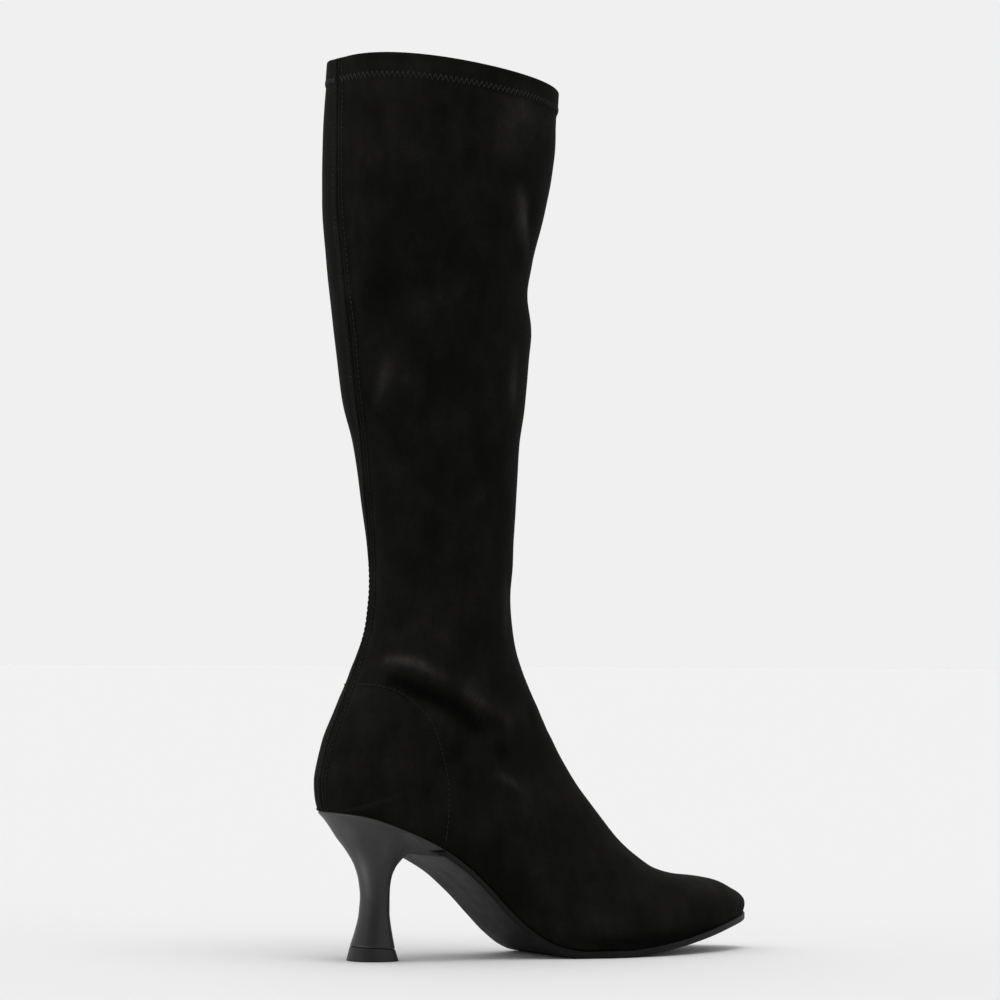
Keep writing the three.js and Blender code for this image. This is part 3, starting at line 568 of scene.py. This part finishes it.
def build_upper(colour_name):
    """The upper's outside, its rolled collar edge and its inside as one mesh."""
    places = upper_rows()
    cols = upper_columns()
    turn = cols[:, 1][None, :]
    base = upper_base(places, cols)
    normal = grid_normals(base)
    depth = collar_depth_of(base)
    rows, count = depth.shape
    hem = hem_relief(depth)
    seam = seam_relief(places, cols, base)
    radius = (WALL + hem) / 2
    relief = soft_strokes(base.reshape(-1, 3), CREASES).reshape(depth.shape) * sizes().fold_depth
    relief = relief + soft_waves(base) * np.clip(places[:, None] * 2, 0, 1)
    relief = relief * np.clip((depth - 4) / 16, 0, 1) + hem + seam
    low_band = 1 - np.clip(turn / 0.5, 0, 1)
    relief = relief * (1 - low_band * np.clip(places[:, None] - FOOT_START + 1, 0, 1))
    outside = base + normal * (relief - rolled_in(depth, radius))[..., None]
    on_sole = is_on_sole(places)
    outside[..., 2] -= np.where(on_sole[:, None] & (turn < 0.2), 0.25 * (1 - turn / 0.2), 0)

    # Toe end: rings that close in on the middle, slightly proud
    last = outside[-1]
    axis_y = section_at(places[-1])["axis"]
    rise = np.clip((last[:, 2] - last[:, 2].min()) / 4, 0, 1)
    rings = []
    for angle in (0.5, 0.9, 1.2, 1.45):
        ring = last.copy()
        ring[:, 1] = axis_y + (ring[:, 1] - axis_y) * math.cos(angle)
        ring[:, 0] += TOE_PROUD * math.sin(angle) * rise
        rings.append(ring)
    bottom = np.append((cols[:-1, 0] < 0.8) | (cols[1:, 0] < 0.8), True)
    open_below = bottom & on_sole[:, None]
    faces = grid_faces(rows + len(rings), count, keep=lambda i, j: not open_below[min(i, rows - 1), j])
    first = (rows + len(rings)) * count
    end = first - count
    for j in range(len(STRIP_SHARES), count // 2):
        faces.append((end + j, end + j + 1, end + (count - j - 1) % count, end + (count - j) % count))
    outer_faces = len(faces)

    # Inside
    picked = np.unique(np.concatenate([np.arange(1, 8), np.arange(8, rows - 6, 4)]))
    inner_depth = depth[picked]
    fold = relief[picked] - hem[picked] * 2 - seam[picked]
    offset = rolled_in(inner_depth, radius[picked]) - WALL + np.where(inner_depth > 6, fold * 0.8, 0)
    inside = base[picked] + normal[picked] * offset[..., None]
    for j in range(count):
        k = (j + 1) % count
        faces.append((j, first + j, first + k, k))
    inner_open = open_below[picked]
    faces += [(a, d, c, b) for a, b, c, d in grid_faces(len(picked), count, first,
                                                        lambda i, j: not inner_open[i, j])]
    points = np.concatenate([part.reshape(-1, 3) for part in (outside, *rings, inside)])
    obj = mesh_object("upper_suede", points, faces, material(colour_name))
    obj.data.materials.append(material("lining"))
    index = np.zeros(len(obj.data.polygons), np.int32)
    index[outer_faces + count:] = 1
    obj.data.polygons.foreach_set("material_index", index)
    # Painted highlight and shade along the folds and in patches, kept at each point for the suede's colour
    nap_and_painted_light = obj.data.attributes.new("nap_and_painted_light", "FLOAT", "POINT")
    nap_and_painted_light.data.foreach_set("value", soft_strokes(points, PAINTED_LIGHT_AND_SHADE).astype(np.float32))
    return obj


# Threads

def surface_tree(points, faces):
    return BVHTree.FromPolygons([tuple(point) for point in points], faces)


def on_surface(tree, target, lift):
    """The place of the surface nearest to a target point, lifted off it, in millimetres."""
    found, normal, _, _ = tree.find_nearest(Vector(target))
    return np.array(found + normal * lift)


def thread_mesh(runs, radius, sides=6):
    """Round threads along runs of points, thinner at both ends, as one mesh."""
    points = []
    faces = []
    for run in runs:
        run = np.asarray(run, float)
        count = len(run)
        start = len(points)
        tangent = np.gradient(run, axis=0)
        tangent /= np.linalg.norm(tangent, axis=1, keepdims=True) + 1e-9
        across = np.cross(tangent, THREAD_GUIDE)
        across /= np.linalg.norm(across, axis=1, keepdims=True) + 1e-9
        other = np.cross(tangent, across)
        for i in range(count):
            size = radius * (0.55 if i in (0, count - 1) else 1.0)
            for k in range(sides):
                angle = 2 * math.pi * k / sides
                points.append(run[i] + size * (math.cos(angle) * across[i] + math.sin(angle) * other[i]))
        faces += grid_faces(count, sides, start)
        faces.append(tuple(start + k for k in reversed(range(sides))))
        faces.append(tuple(start + (count - 1) * sides + k for k in range(sides)))
    return np.array(points), faces


def stitch_runs(tree, path, pitch, length, radius):
    """Separate stitches along a path: each rises out of the cloth, runs over it and goes in again."""
    fine = rounded_path(path, 0.5)
    steps = run_along(fine)
    runs = []
    for start in np.arange(0, steps[-1] - length, pitch):
        run = []
        for share, lift in ((0.0, -0.35), (0.14, 0.6), (0.5, 0.85), (0.86, 0.6), (1.0, -0.35)):
            run.append(on_surface(tree, point_along(start + share * length, steps, fine), lift * radius))
        runs.append(run)
    return runs


def hem_runs(tree):
    """The zigzag of the hem, as one thread round the collar."""
    height = section_at(0.0)["back_z"]
    lines = []
    for step in (1, -1):
        place = place_at_height(height - HEM_STITCH + step * sizes().hem_stitch_height / MM / 2)
        turn = np.linspace(0, math.pi, 720)
        here = np.full(len(turn), place)
        near = section_point(here, turn, np.full(len(turn), 1.0))
        far = section_point(here, turn, np.full(len(turn), -1.0))
        lines.append(np.concatenate([near, far[::-1]]))
    high, low = lines
    run = run_along(high)
    stitches = int(run[-1] / (sizes().hem_stitch_width / MM))
    radius = sizes().thread_radius / MM
    runs = []
    for k in range(stitches):
        for leg in (0, 1):
            start = (k + 0.5 * leg) * run[-1] / stitches
            stop = (k + 0.5 * (leg + 1)) * run[-1] / stitches
            thread = []
            for share, lift in ((0.0, -0.2), (0.15, 0.6), (0.5, 0.9), (0.85, 0.6), (1.0, -0.2)):
                place = start + (stop - start) * share
                down = share if leg == 0 else 1 - share
                a = point_along(place, run, high)
                b = point_along(place, run, low)
                thread.append(on_surface(tree, a + (b - a) * down, lift * radius))
            runs.append(thread)
    return runs


def seam_paths():
    """The two rows of stitches beside the back seam, from below the hem to above the heel seat."""
    paths = []
    for side in (1.0, -1.0):
        path = []
        for place in np.linspace(0.08, FOOT_START - 0.35, 60):
            s = section_at(place)
            path.append((s["back_x"] - 0.4, s["axis"] + s["drift"] + side * SEAM_ROW, s["back_z"]))
        paths.append(path)
    return paths


COUNTER_PATHS = (
    ((-11.8, -5, 134.9), (-2.6, -21.9, 133.2), (12.2, -30.5, 121.7), (20.6, -30.4, 105.7),
     (26.2, -29.5, 83.3), (25.9, -29.7, 71.6), (25.0, -29.1, 60), (24.7, -28.6, 57.2)),
    ((-11.8, 5, 134.9), (-2.6, 21.9, 133.2), (12.2, 30.5, 121.7), (20.6, 30.4, 105.7),
     (26.2, 29.5, 83.3), (25.9, 28, 71.6), (25.0, 26, 60), (24.7, 25.5, 57.2)),
)


# Bottom

def feather_edge(side, margin, count=420):
    """The featherline from the heel's back to the toe, moved outward by a margin."""
    places = np.linspace(FOOT_START, ROW_COUNT - 1, count)
    s = section_at(places)
    narrow = s["inner"] if side > 0 else s["outer"]
    x, y = s["back_x"], s["axis"] + side * narrow
    run_x, run_y = np.gradient(x), np.gradient(y)
    size = np.hypot(run_x, run_y)
    return np.stack([x - side * run_y / size * margin, y + side * run_x / size * margin], 1)


def edge_stations(margin, start, end, step):
    """Pairs of points of the two edges of a bottom piece, at even steps from start to end."""
    inner = feather_edge(1, margin)
    outer = feather_edge(-1, margin)
    end = min(end, inner[-1, 0], outer[-1, 0])
    count = int((end - start) / step)
    share = np.linspace(0, 1, count)
    x = start + (end - start) * (1 - (1 - share) ** 1.25)
    inner_y = np.interp(x, inner[:, 0], inner[:, 1])
    outer_y = np.interp(x, outer[:, 0], outer[:, 1])
    return x, inner_y, outer_y


def plate_mesh(x, inner_y, outer_y, profile, top, bottom):
    """A thin piece along the sole line. profile holds each point's inset from the edge and its height."""
    points = []
    loop = len(profile) * 2
    for n in range(len(x)):
        half = (inner_y[n] - outer_y[n]) / 2
        middle = (inner_y[n] + outer_y[n]) / 2
        high, low = top(x[n]), bottom(x[n])
        for side, order in ((1, profile), (-1, profile[::-1])):
            for inset, height in order:
                y = middle + side * max(half - inset, 0)
                points.append((x[n], y, high + height if height <= 0 else low + height - 0.001))
    faces = [face[::-1] for face in grid_faces(len(x), loop)]
    faces.append(tuple(range(loop)))
    faces.append(tuple(reversed(range((len(x) - 1) * loop, len(x) * loop))))
    return points, faces


# Heel

def seat_outline(angles):
    """Outline of the heel seat at each angle from the toe's direction."""
    inner = feather_edge(1, SEAT_MARGIN)
    outer = feather_edge(-1, SEAT_MARGIN)
    a = np.concatenate([[(BREAST_X, np.interp(BREAST_X, *inner.T))], inner[inner[:, 0] < BREAST_X][::-1],
                        outer[outer[:, 0] < BREAST_X], [(BREAST_X, np.interp(BREAST_X, *outer.T))]])
    edge = np.roll(a, -1, axis=0) - a
    result = []
    for angle in angles:
        dx, dy = math.cos(angle), math.sin(angle)
        cross = dx * edge[:, 1] - dy * edge[:, 0]
        cross = np.where(np.abs(cross) < 1e-12, 1e-12, cross)
        reach = (a[:, 0] * edge[:, 1] - a[:, 1] * edge[:, 0]) / cross
        share = (a[:, 0] * dy - a[:, 1] * dx) / cross
        distance = reach[(reach > 0) & (share >= -1e-9) & (share <= 1 + 1e-9)].max()
        result.append((distance * dx, distance * dy))
    return np.array(result)


def spool_outline(angles, depth, width):
    """Outline of the spool: round behind, squarer in front."""
    cosine, sine = np.cos(angles), np.sin(angles)
    power = np.where(cosine > 0, 2 / FRONT_SQUARENESS, 1.0)
    return np.stack([depth / 2 * np.sign(cosine) * np.abs(cosine) ** power,
                     width / 2 * np.sign(sine) * np.abs(sine) ** power], 1)


def tip_top(x):
    return TIP_BACK + (TIP_FRONT - TIP_BACK) * (x + BASE_DEPTH / 2) / BASE_DEPTH


def rim_bottom(x):
    """Underside of the heel's top edge: thin behind, thicker at the lip in front."""
    return sole_top(x) - RIM_THICKNESS - (LIP_THICKNESS - RIM_THICKNESS) * (x + HEEL_SETBACK) / BREAST_ALONG


def closed_loops(loops):
    """One closed mesh from loops of equal length, from the top one down."""
    count = len(loops[0])
    last = (len(loops) - 1) * count
    faces = grid_faces(len(loops), count)
    faces.append(tuple(range(count)))
    faces.append(tuple(reversed(range(last, last + count))))
    return np.array(loops).reshape(-1, 3), [face[::-1] for face in faces]


def heel_mesh():
    """The spool heel with its thin top edge and lip, as one closed mesh."""
    angles = np.linspace(0, 2 * math.pi, 160, endpoint=False)
    seat = seat_outline(angles)
    high = sole_top(seat[:, 0])
    rim = rim_bottom(seat[:, 0])
    low = tip_top(spool_outline(angles, BASE_DEPTH, BASE_WIDTH)[:, 0]) + CLEARANCE
    loops = [np.column_stack([seat * share, sole_top(seat[:, 0] * share)]) for share in (0.02, 0.5, 0.9)]
    length = np.linalg.norm(seat, axis=1, keepdims=True)
    for inset, share in ((0.3, 0.0), (0.08, 0.1), (0.0, 0.35), (0.0, 0.7)):
        loops.append(np.column_stack([seat * (1 - inset / length), high + (rim - high) * share]))
    table = columns(SPOOL_COLUMNS, ((0, 1, 1, 1, 0.95, 0.2),) + SPOOL_ROWS)
    in_front = np.cos(angles) > 0
    lengthwise = np.cos(angles) ** 2
    sideways = (1 - lengthwise) ** np.where(in_front, BREAST_HOLLOW, 1)
    for down in np.concatenate([np.linspace(0, 0.12, 22), np.linspace(0.12, 1, 66)[1:]]):
        row = {key: smooth(table["down"], table[key], down) for key in table}
        depth = NECK_DEPTH + row["swell"] * (BASE_DEPTH - NECK_DEPTH)
        width = NECK_WIDTH + row["swell"] * (BASE_WIDTH - NECK_WIDTH)
        round_ = spool_outline(angles, depth, width) + np.array([row["lean"] * NECK_LEAN, 0])
        mix = (np.where(in_front, row["breast"], row["back"]) * lengthwise + row["side"] * sideways)[:, None]
        point = round_ * (1 - mix) + seat * mix
        loops.append(np.column_stack([point, rim + (low - rim) * down]))
    end = loops[-1]
    for share in (0.97, 0.4, 0.02):
        loops.append(np.column_stack([end[:, :2] * share, tip_top(end[:, 0] * share) + CLEARANCE]))
    return closed_loops(loops)


def heel_tip_mesh():
    """The top lift, wider below than above, with softened edges."""
    angles = np.linspace(0, 2 * math.pi, 120, endpoint=False)
    outline = spool_outline(angles, BASE_DEPTH, BASE_WIDTH)
    foot = spool_outline(angles, BASE_DEPTH + 2 * TIP_FLARE, BASE_WIDTH + 2 * TIP_FLARE)
    length = np.linalg.norm(foot, axis=1, keepdims=True)
    top = tip_top(outline[:, 0])
    loops = [np.column_stack([outline * share, tip_top(outline[:, 0] * share)])
             for share in (0.02, 0.5, 0.97)]
    for share in (0.03, 0.08, 0.3, 0.6, 0.9):
        loops.append(np.column_stack([outline + (foot - outline) * share, top * (1 - share)]))
    for inset, height in ((0.05, 0.35), (0.2, 0.12), (0.6, 0.0)):
        loops.append(np.column_stack([foot * (1 - inset / length), np.full(len(foot), height)]))
    for share in (0.5, 0.02):
        loops.append(np.column_stack([foot * share, np.zeros(len(foot))]))
    return closed_loops(loops)


# Materials

class Nodes:
    """Short ways of writing one material's nodes."""

    def __init__(self, name):
        self.material = bpy.data.materials.new(name)
        self.material.use_nodes = True
        self.tree = self.material.node_tree
        self.shader = self.tree.nodes["Principled BSDF"]
        self.place = self.node("TexCoord", {}).outputs["Object"]

    def fill(self, node, inputs):
        """Sets a node's inputs to values, or links them to other nodes' outputs."""
        for key, value in inputs.items():
            if isinstance(value, bpy.types.NodeSocket):
                self.tree.links.new(value, node.inputs[key])
            else:
                node.inputs[key].default_value = value

    def node(self, kind, inputs):
        node = self.tree.nodes.new("ShaderNode" + kind)
        self.fill(node, inputs)
        return node

    def noise(self, scale, detail=2.0, roughness=0.5, stretch=None):
        place = self.place
        if stretch is not None:
            place = self.node("Mapping", {"Scale": stretch, "Vector": place}).outputs["Vector"]
        inputs = {"Scale": scale, "Detail": detail, "Roughness": roughness, "Vector": place}
        return self.node("TexNoise", inputs).outputs["Fac"]

    def ramp(self, source, low, high, start=0.3, stop=0.7):
        inputs = {"From Min": start, "From Max": stop, "To Min": low, "To Max": high, "Value": source}
        return self.node("MapRange", inputs).outputs["Result"]

    def math(self, operation, a, b):
        node = self.node("Math", {0: a, 1: b})
        node.operation = operation
        return node.outputs["Value"]

    def mix(self, factor, low, high):
        node = self.tree.nodes.new("ShaderNodeMix")
        node.data_type = "RGBA"
        self.fill(node, {"Factor": factor, 6: (*low, 1), 7: (*high, 1)})
        return node.outputs[2]

    def attribute(self, name):
        node = self.node("Attribute", {})
        node.attribute_name = name
        return node.outputs["Fac"]

    def scaled(self, colour, factor):
        node = self.tree.nodes.new("ShaderNodeVectorMath")
        node.operation = "SCALE"
        self.fill(node, {"Vector": colour, "Scale": factor})
        return node.outputs["Vector"]

    def bump(self, height, distance, strength=1.0, under=None):
        inputs = {"Distance": distance, "Strength": strength, "Height": height}
        if under is not None:
            inputs["Normal"] = under
        return self.node("Bump", inputs).outputs["Normal"]

    def finish(self, inputs):
        """Fills the shader's inputs and gives back the material."""
        self.fill(self.shader, inputs)
        return self.material


def shade(colour, amount):
    return tuple(value * amount for value in colour)


def suede_finish(name, colour):
    """Short matt nap with brushed patches, and painted highlight and shade along the folds from the point
    attribute.
    """
    n = Nodes(name)
    patches = n.noise(45.0, 3.0, 0.55)
    streaks = n.noise(120.0, 2.0, 0.6, (1.0, 1.0, 0.45))
    nap_and_painted_light = n.noise(620.0, 3.0, 0.65)
    fibre = n.noise(2400.0, 2.0, 0.6)
    tone = n.math("ADD", n.ramp(patches, -0.3, 0.3), n.ramp(streaks, -0.16, 0.16))
    # the point attribute adds painted highlight and shade to the tone
    tone = n.math("ADD", n.math("ADD", tone, n.ramp(nap_and_painted_light, -0.16, 0.16)), n.attribute("nap_and_painted_light"))
    return n.finish({
        "Base Color": n.scaled(colour, n.math("POWER", SUEDE_TONE_CONTRAST, tone)),
        "Roughness": n.ramp(nap_and_painted_light, 0.86, 1.0),
        "Specular IOR Level": 0.04,
        "Sheen Weight": 0.010,
        "Sheen Roughness": 0.4,
        "Sheen Tint": (1, 0.98, 0.94, 1),
        "Normal": n.bump(nap_and_painted_light, 0.00028, 0.5, n.bump(fibre, 0.00012, 0.55)),
    })


def lining_finish(name, colour):
    """Knitted lining."""
    n = Nodes(name)
    wave = n.node("TexWave", {"Scale": 210.0, "Distortion": 1.5, "Vector": n.place})
    wave.bands_direction = "Z"
    grain = n.noise(900.0, 2.0)
    return n.finish({
        "Base Color": n.mix(grain, shade(colour, 0.7), shade(colour, 1.3)),
        "Roughness": n.ramp(grain, 0.8, 0.95),
        "Specular IOR Level": 0.25,
        "Sheen Weight": 0.2,
        "Sheen Roughness": 0.5,
        "Normal": n.bump(grain, 0.0002, 0.4, n.bump(wave.outputs["Fac"], 0.0002, 0.4)),
    })


def thread_finish(name, colour):
    """Twisted sewing thread."""
    n = Nodes(name)
    twist = n.noise(3500.0, 1.0, 0.5, (1.0, 1.0, 0.35))
    return n.finish({
        "Base Color": n.mix(twist, shade(colour, 0.7), shade(colour, 1.3)),
        "Roughness": n.ramp(twist, 0.4, 0.6),
        "Specular IOR Level": 0.12,
        "Sheen Weight": 0.02,
        "Normal": n.bump(twist, 0.0001, 0.6),
    })


def satin_finish(name, colour, low, high, grain_scale, depth, specular):
    """Satin plastic or rubber with a faint grain, worn a little unevenly."""
    n = Nodes(name)
    cloud = n.noise(70.0, 3.0, 0.6)
    grain = n.noise(grain_scale, 2.0, 0.5)
    return n.finish({
        "Base Color": n.mix(cloud, shade(colour, 0.85), shade(colour, 1.15)),
        "Roughness": n.ramp(cloud, low, high),
        "Specular IOR Level": specular,
        "Normal": n.bump(grain, depth, 0.5),
    })


def floor_finish(name, colour):
    """Plain painted studio floor."""
    n = Nodes(name)
    grain = n.noise(14.0, 2.0)
    return n.finish({
        "Base Color": n.mix(grain, shade(colour, 0.997), shade(colour, 1.0)),
        "Roughness": n.ramp(grain, 0.9, 0.95),
        "Specular IOR Level": 0.1,
    })


def material(name):
    """A finish by its name, made once."""
    full = "boot_" + name
    found = bpy.data.materials.get(full)
    if found is not None:
        return found
    c = colours()
    if name == "suede":
        return suede_finish(full, tuple(c.suede))
    if name == "lining":
        return lining_finish(full, tuple(c.lining))
    if name == "thread":
        return thread_finish(full, tuple(c.thread))
    if name == "seam_thread":
        return thread_finish(full, tuple(c.seam_thread))
    if name == "heel":
        return satin_finish(full, tuple(c.heel), 0.42, 0.5, 1500.0, 0.00003, 0.36)
    if name == "sole":
        return satin_finish(full, tuple(c.sole), 0.5, 0.62, 1800.0, 0.00006, 0.16)
    if name == "tip":
        return satin_finish(full, tuple(c.tip), 0.5, 0.65, 1400.0, 0.00008, 0.5)
    if name == "floor":
        return floor_finish(full, tuple(c.floor))
    raise RuntimeError("no finish is called " + name)


# Settings

def length_property(name, text, value, low, high):
    return bpy.props.FloatProperty(name=name, description=text, default=value, min=low, max=high,
                                   unit="LENGTH", subtype="DISTANCE", precision=5)


def colour_property(name, text, value):
    return bpy.props.FloatVectorProperty(name=name, description=text, default=value, min=0.0, max=1.0,
                                         size=3, subtype="COLOR")


class BootSizes(bpy.types.PropertyGroup):
    hem_stitch_height: length_property("Hem stitch height", "Height of the hem's zigzag", 0.0033, 0.001,
                                       0.006)
    hem_stitch_width: length_property("Hem stitch width", "Width of one zigzag stitch", 0.0026, 0.001, 0.006)
    stitch_pitch: length_property("Stitch pitch", "Distance between seam stitches", 0.0026, 0.001, 0.006)
    stitch_length: length_property("Stitch length", "Length of a seam stitch", 0.0021, 0.0005, 0.005)
    thread_radius: length_property("Thread radius", "Radius of the sewing thread", 0.00024, 0.0001, 0.001)
    fold_depth: bpy.props.FloatProperty(name="Fold depth", description="Strength of the soft folds",
                                        default=1.0, min=0.0, max=2.0, subtype="FACTOR")


class BootColours(bpy.types.PropertyGroup):
    suede: colour_property("Suede", "Colour of the upper", (0.0033, 0.0032, 0.0028))
    lining: colour_property("Lining", "Colour of the lining and sock", (0.02, 0.018, 0.016))
    thread: colour_property("Hem thread", "Colour of the hem's stitches", (0.009, 0.009, 0.0085))
    seam_thread: colour_property("Seam thread", "Colour of the seams' stitches", (0.0035, 0.0034, 0.003))
    heel: colour_property("Heel", "Colour of the spool heel", (0.016, 0.016, 0.0155))
    sole: colour_property("Sole", "Colour of the outsole", (0.004, 0.004, 0.004))
    tip: colour_property("Heel tip", "Colour of the top lift", (0.006, 0.006, 0.006))
    floor: colour_property("Floor", "Colour of the floor", (0.84, 0.84, 0.84))


def sizes():
    return bpy.context.scene.boot_sizes


def colours():
    return bpy.context.scene.boot_colours


# Operators

class BOOT_OT_upper(bpy.types.Operator):
    """Build the suede upper with its folds, hem and back seam"""
    bl_idname = "boot.upper"
    bl_label = "Upper"

    def execute(self, context):
        obj = build_upper("suede")
        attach(obj, "root")
        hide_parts("upper")
        return {"FINISHED"}


class BOOT_OT_stitches(bpy.types.Operator):
    """Sew the hem, the back seam and the counter"""
    bl_idname = "boot.stitches"
    bl_label = "Stitches"

    def execute(self, context):
        upper = bpy.data.objects.get("upper_suede")
        if upper is None:
            raise RuntimeError("the upper comes before its stitches")
        mesh = upper.data
        points = np.empty(len(mesh.vertices) * 3)
        mesh.vertices.foreach_get("co", points)
        points = points.reshape(-1, 3) / MM
        outside = [tuple(p.vertices) for p in mesh.polygons if p.material_index == 0]
        tree = surface_tree(points, outside)
        radius = sizes().thread_radius / MM
        pitch = sizes().stitch_pitch / MM
        length = sizes().stitch_length / MM
        seam = [run for path in seam_paths() for run in stitch_runs(tree, path, pitch, length, radius)]
        counter = [run for path in COUNTER_PATHS for run in stitch_runs(tree, path, pitch, length, radius)]
        for name, thread, runs in (("hem_stitches", "thread", hem_runs(tree)),
                                   ("seam_stitches", "seam_thread", seam),
                                   ("counter_stitches", "seam_thread", counter)):
            obj = mesh_object(name, *thread_mesh(runs, radius), material(thread))
            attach(obj, "root")
        return {"FINISHED"}


class BOOT_OT_insole(bpy.types.Operator):
    """Build the padded sock board"""
    bl_idname = "boot.insole"
    bl_label = "Insole"

    def execute(self, context):
        margin = WALL + CLEARANCE
        end = FOOT_LENGTH - HEEL_SETBACK - INSOLE_TOE_GAP
        x, inner, outer = edge_stations(-margin, -HEEL_SETBACK + margin + 2, end, 2.0)
        points, faces = plate_mesh(x, inner, outer, INSOLE_PROFILE, insole_top, feather_z)
        obj = mesh_object("insole_sock", points, faces, material("lining"))
        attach(obj, "root")
        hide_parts("insole")
        return {"FINISHED"}


class BOOT_OT_outsole(bpy.types.Operator):
    """Build the thin outsole with its softened edge"""
    bl_idname = "boot.outsole"
    bl_label = "Outsole"

    def execute(self, context):
        x, inner, outer = edge_stations(SOLE_MARGIN, BREAST_X - CLEARANCE, 1e3, 1.3)
        half = (inner[-1] - outer[-1]) / 2
        middle = (inner[-1] + outer[-1]) / 2
        turn = np.array([0.4, 0.8, 1.15, 1.4])
        x = np.concatenate([x, x[-1] + TOE_PROUD * np.sin(turn)])
        inner = np.concatenate([inner, middle + half * np.cos(turn)])
        outer = np.concatenate([outer, middle - half * np.cos(turn)])
        points, faces = plate_mesh(x, inner, outer, SOLE_PROFILE, sole_top, sole_bottom)
        obj = mesh_object("outsole_edge", points, faces, material("sole"))
        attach(obj, "root")
        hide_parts("outsole")
        return {"FINISHED"}


class BOOT_OT_heel(bpy.types.Operator):
    """Build the spool heel and its top lift"""
    bl_idname = "boot.heel"
    bl_label = "Heel and tip"

    def execute(self, context):
        heel = mesh_object("heel_spool", *heel_mesh(), material("heel"))
        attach(heel, "root")
        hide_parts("heel")
        tip = mesh_object("heel_lift", *heel_tip_mesh(), material("tip"))
        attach(tip, "root")
        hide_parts("heel_tip")
        return {"FINISHED"}


def look_from(place, towards, roll=0.0):
    """A world matrix for a camera or light that looks from one point towards another."""
    back = (Vector(place) - Vector(towards)).normalized()
    right = Vector((0, 0, 1)).cross(back).normalized()
    up = back.cross(right)
    r = right * math.cos(roll) + up * math.sin(roll)
    u = -right * math.sin(roll) + up * math.cos(roll)
    matrix = Matrix((r, u, back)).transposed().to_4x4()
    matrix.translation = Vector(place)
    return matrix


def sun_light(name, direction, strength, angle, lit):
    """A wide soft light from far away. It lights the named pieces, and from below it passes the floor."""
    data = bpy.data.lights.new(name, "SUN")
    data.energy = strength
    data.angle = math.radians(angle)
    obj = scene_object(name, data)
    obj.matrix_world = look_from(direction * 3, Vector((0, 0, 0)))
    receivers = bpy.data.collections.new(name + "_lights")
    for piece in lit:
        receivers.objects.link(bpy.data.objects[piece])
    obj.light_linking.receiver_collection = receivers
    if direction.z < 0:
        obj.light_linking.blocker_collection = receivers
    return obj


def studio_sky(dark_side):
    """An even white sky with one darker place, like the room behind a photographer."""
    world = bpy.data.worlds.new("studio")
    world.use_nodes = True
    nodes, links = world.node_tree.nodes, world.node_tree.links
    direction = nodes.new("ShaderNodeTexCoord").outputs["Generated"]
    facing = nodes.new("ShaderNodeVectorMath")
    facing.operation = "DOT_PRODUCT"
    facing.inputs[1].default_value = dark_side
    links.new(direction, facing.inputs[0])
    ramp = nodes.new("ShaderNodeMapRange")
    ramp.interpolation_type = "SMOOTHSTEP"
    ramp.inputs["From Min"].default_value = 0.5
    ramp.inputs["From Max"].default_value = 0.92
    ramp.inputs["To Min"].default_value = SKY
    ramp.inputs["To Max"].default_value = SKY_DARK
    links.new(facing.outputs["Value"], ramp.inputs["Value"])
    links.new(ramp.outputs["Result"], nodes["Background"].inputs["Strength"])
    nodes["Background"].inputs["Color"].default_value = (1, 1, 1, 1)
    return world


class BOOT_OT_stage(bpy.types.Operator):
    """Set up the floor, the lights and the camera"""
    bl_idname = "boot.stage"
    bl_label = "Stage"

    def execute(self, context):
        scene = context.scene
        points = [(x, y, 0.0) for y in (-FLOOR_REACH, FLOOR_REACH) for x in (-FLOOR_REACH, FLOOR_REACH)]
        floor = mesh_object("floor", np.array(points) / MM, [(0, 1, 3, 2)], material("floor"), False)
        view = math.radians(VIEW_TURN)
        right = Vector((math.cos(view), -math.sin(view), 0))
        back = Vector((-math.sin(view), -math.cos(view), 0))
        place = right * VIEW_ASIDE + back * VIEW_DISTANCE + Vector((0, 0, VIEW_HEIGHT))
        pitch = math.atan(VIEW_PITCH)
        aim = place - back * math.cos(pitch) + Vector((0, 0, math.sin(pitch)))
        data = bpy.data.cameras.new("camera")
        data.sensor_width = 36.0
        data.lens = VIEW_LENS
        data.clip_end = 50.0
        camera = scene_object("camera", data)
        camera.matrix_world = look_from(place, aim, math.radians(VIEW_ROLL))
        scene.camera = camera
        scene.world = studio_sky(back)
        for name, aside, towards, up, strength, angle, lit in SUNS:
            direction = (right * aside + back * towards + Vector((0, 0, up))).normalized()
            sun_light(name, direction, strength, angle, lit)
        scene.view_settings.view_transform = "Standard"
        return {"FINISHED"}


class BOOT_PT_panel(bpy.types.Panel):
    """Lists the steps that build the boot"""
    bl_idname = "BOOT_PT_panel"
    bl_label = "Knee-high boot"
    bl_space_type = "VIEW_3D"
    bl_region_type = "UI"
    bl_category = "Boot"

    def draw(self, context):
        for group in (context.scene.boot_sizes, context.scene.boot_colours):
            box = self.layout.box()
            for key in group.__annotations__:
                box.prop(group, key)
        for operator in OPERATORS:
            self.layout.operator(operator.bl_idname)


OPERATORS = (BOOT_OT_upper, BOOT_OT_stitches, BOOT_OT_insole, BOOT_OT_outsole, BOOT_OT_heel, BOOT_OT_stage)
CLASSES = (BootSizes, BootColours, *OPERATORS, BOOT_PT_panel)


def register():
    for entry in CLASSES:
        bpy.utils.register_class(entry)
    bpy.types.Scene.boot_sizes = bpy.props.PointerProperty(type=BootSizes)
    bpy.types.Scene.boot_colours = bpy.props.PointerProperty(type=BootColours)


def unregister():
    del bpy.types.Scene.boot_colours
    del bpy.types.Scene.boot_sizes
    for entry in reversed(CLASSES):
        bpy.utils.unregister_class(entry)


def main():
    register()
    bpy.ops.boot.upper()
    bpy.ops.boot.stitches()
    bpy.ops.boot.insole()
    bpy.ops.boot.outsole()
    bpy.ops.boot.heel()
    bpy.ops.boot.stage()


if __name__ == "__main__":
    main()
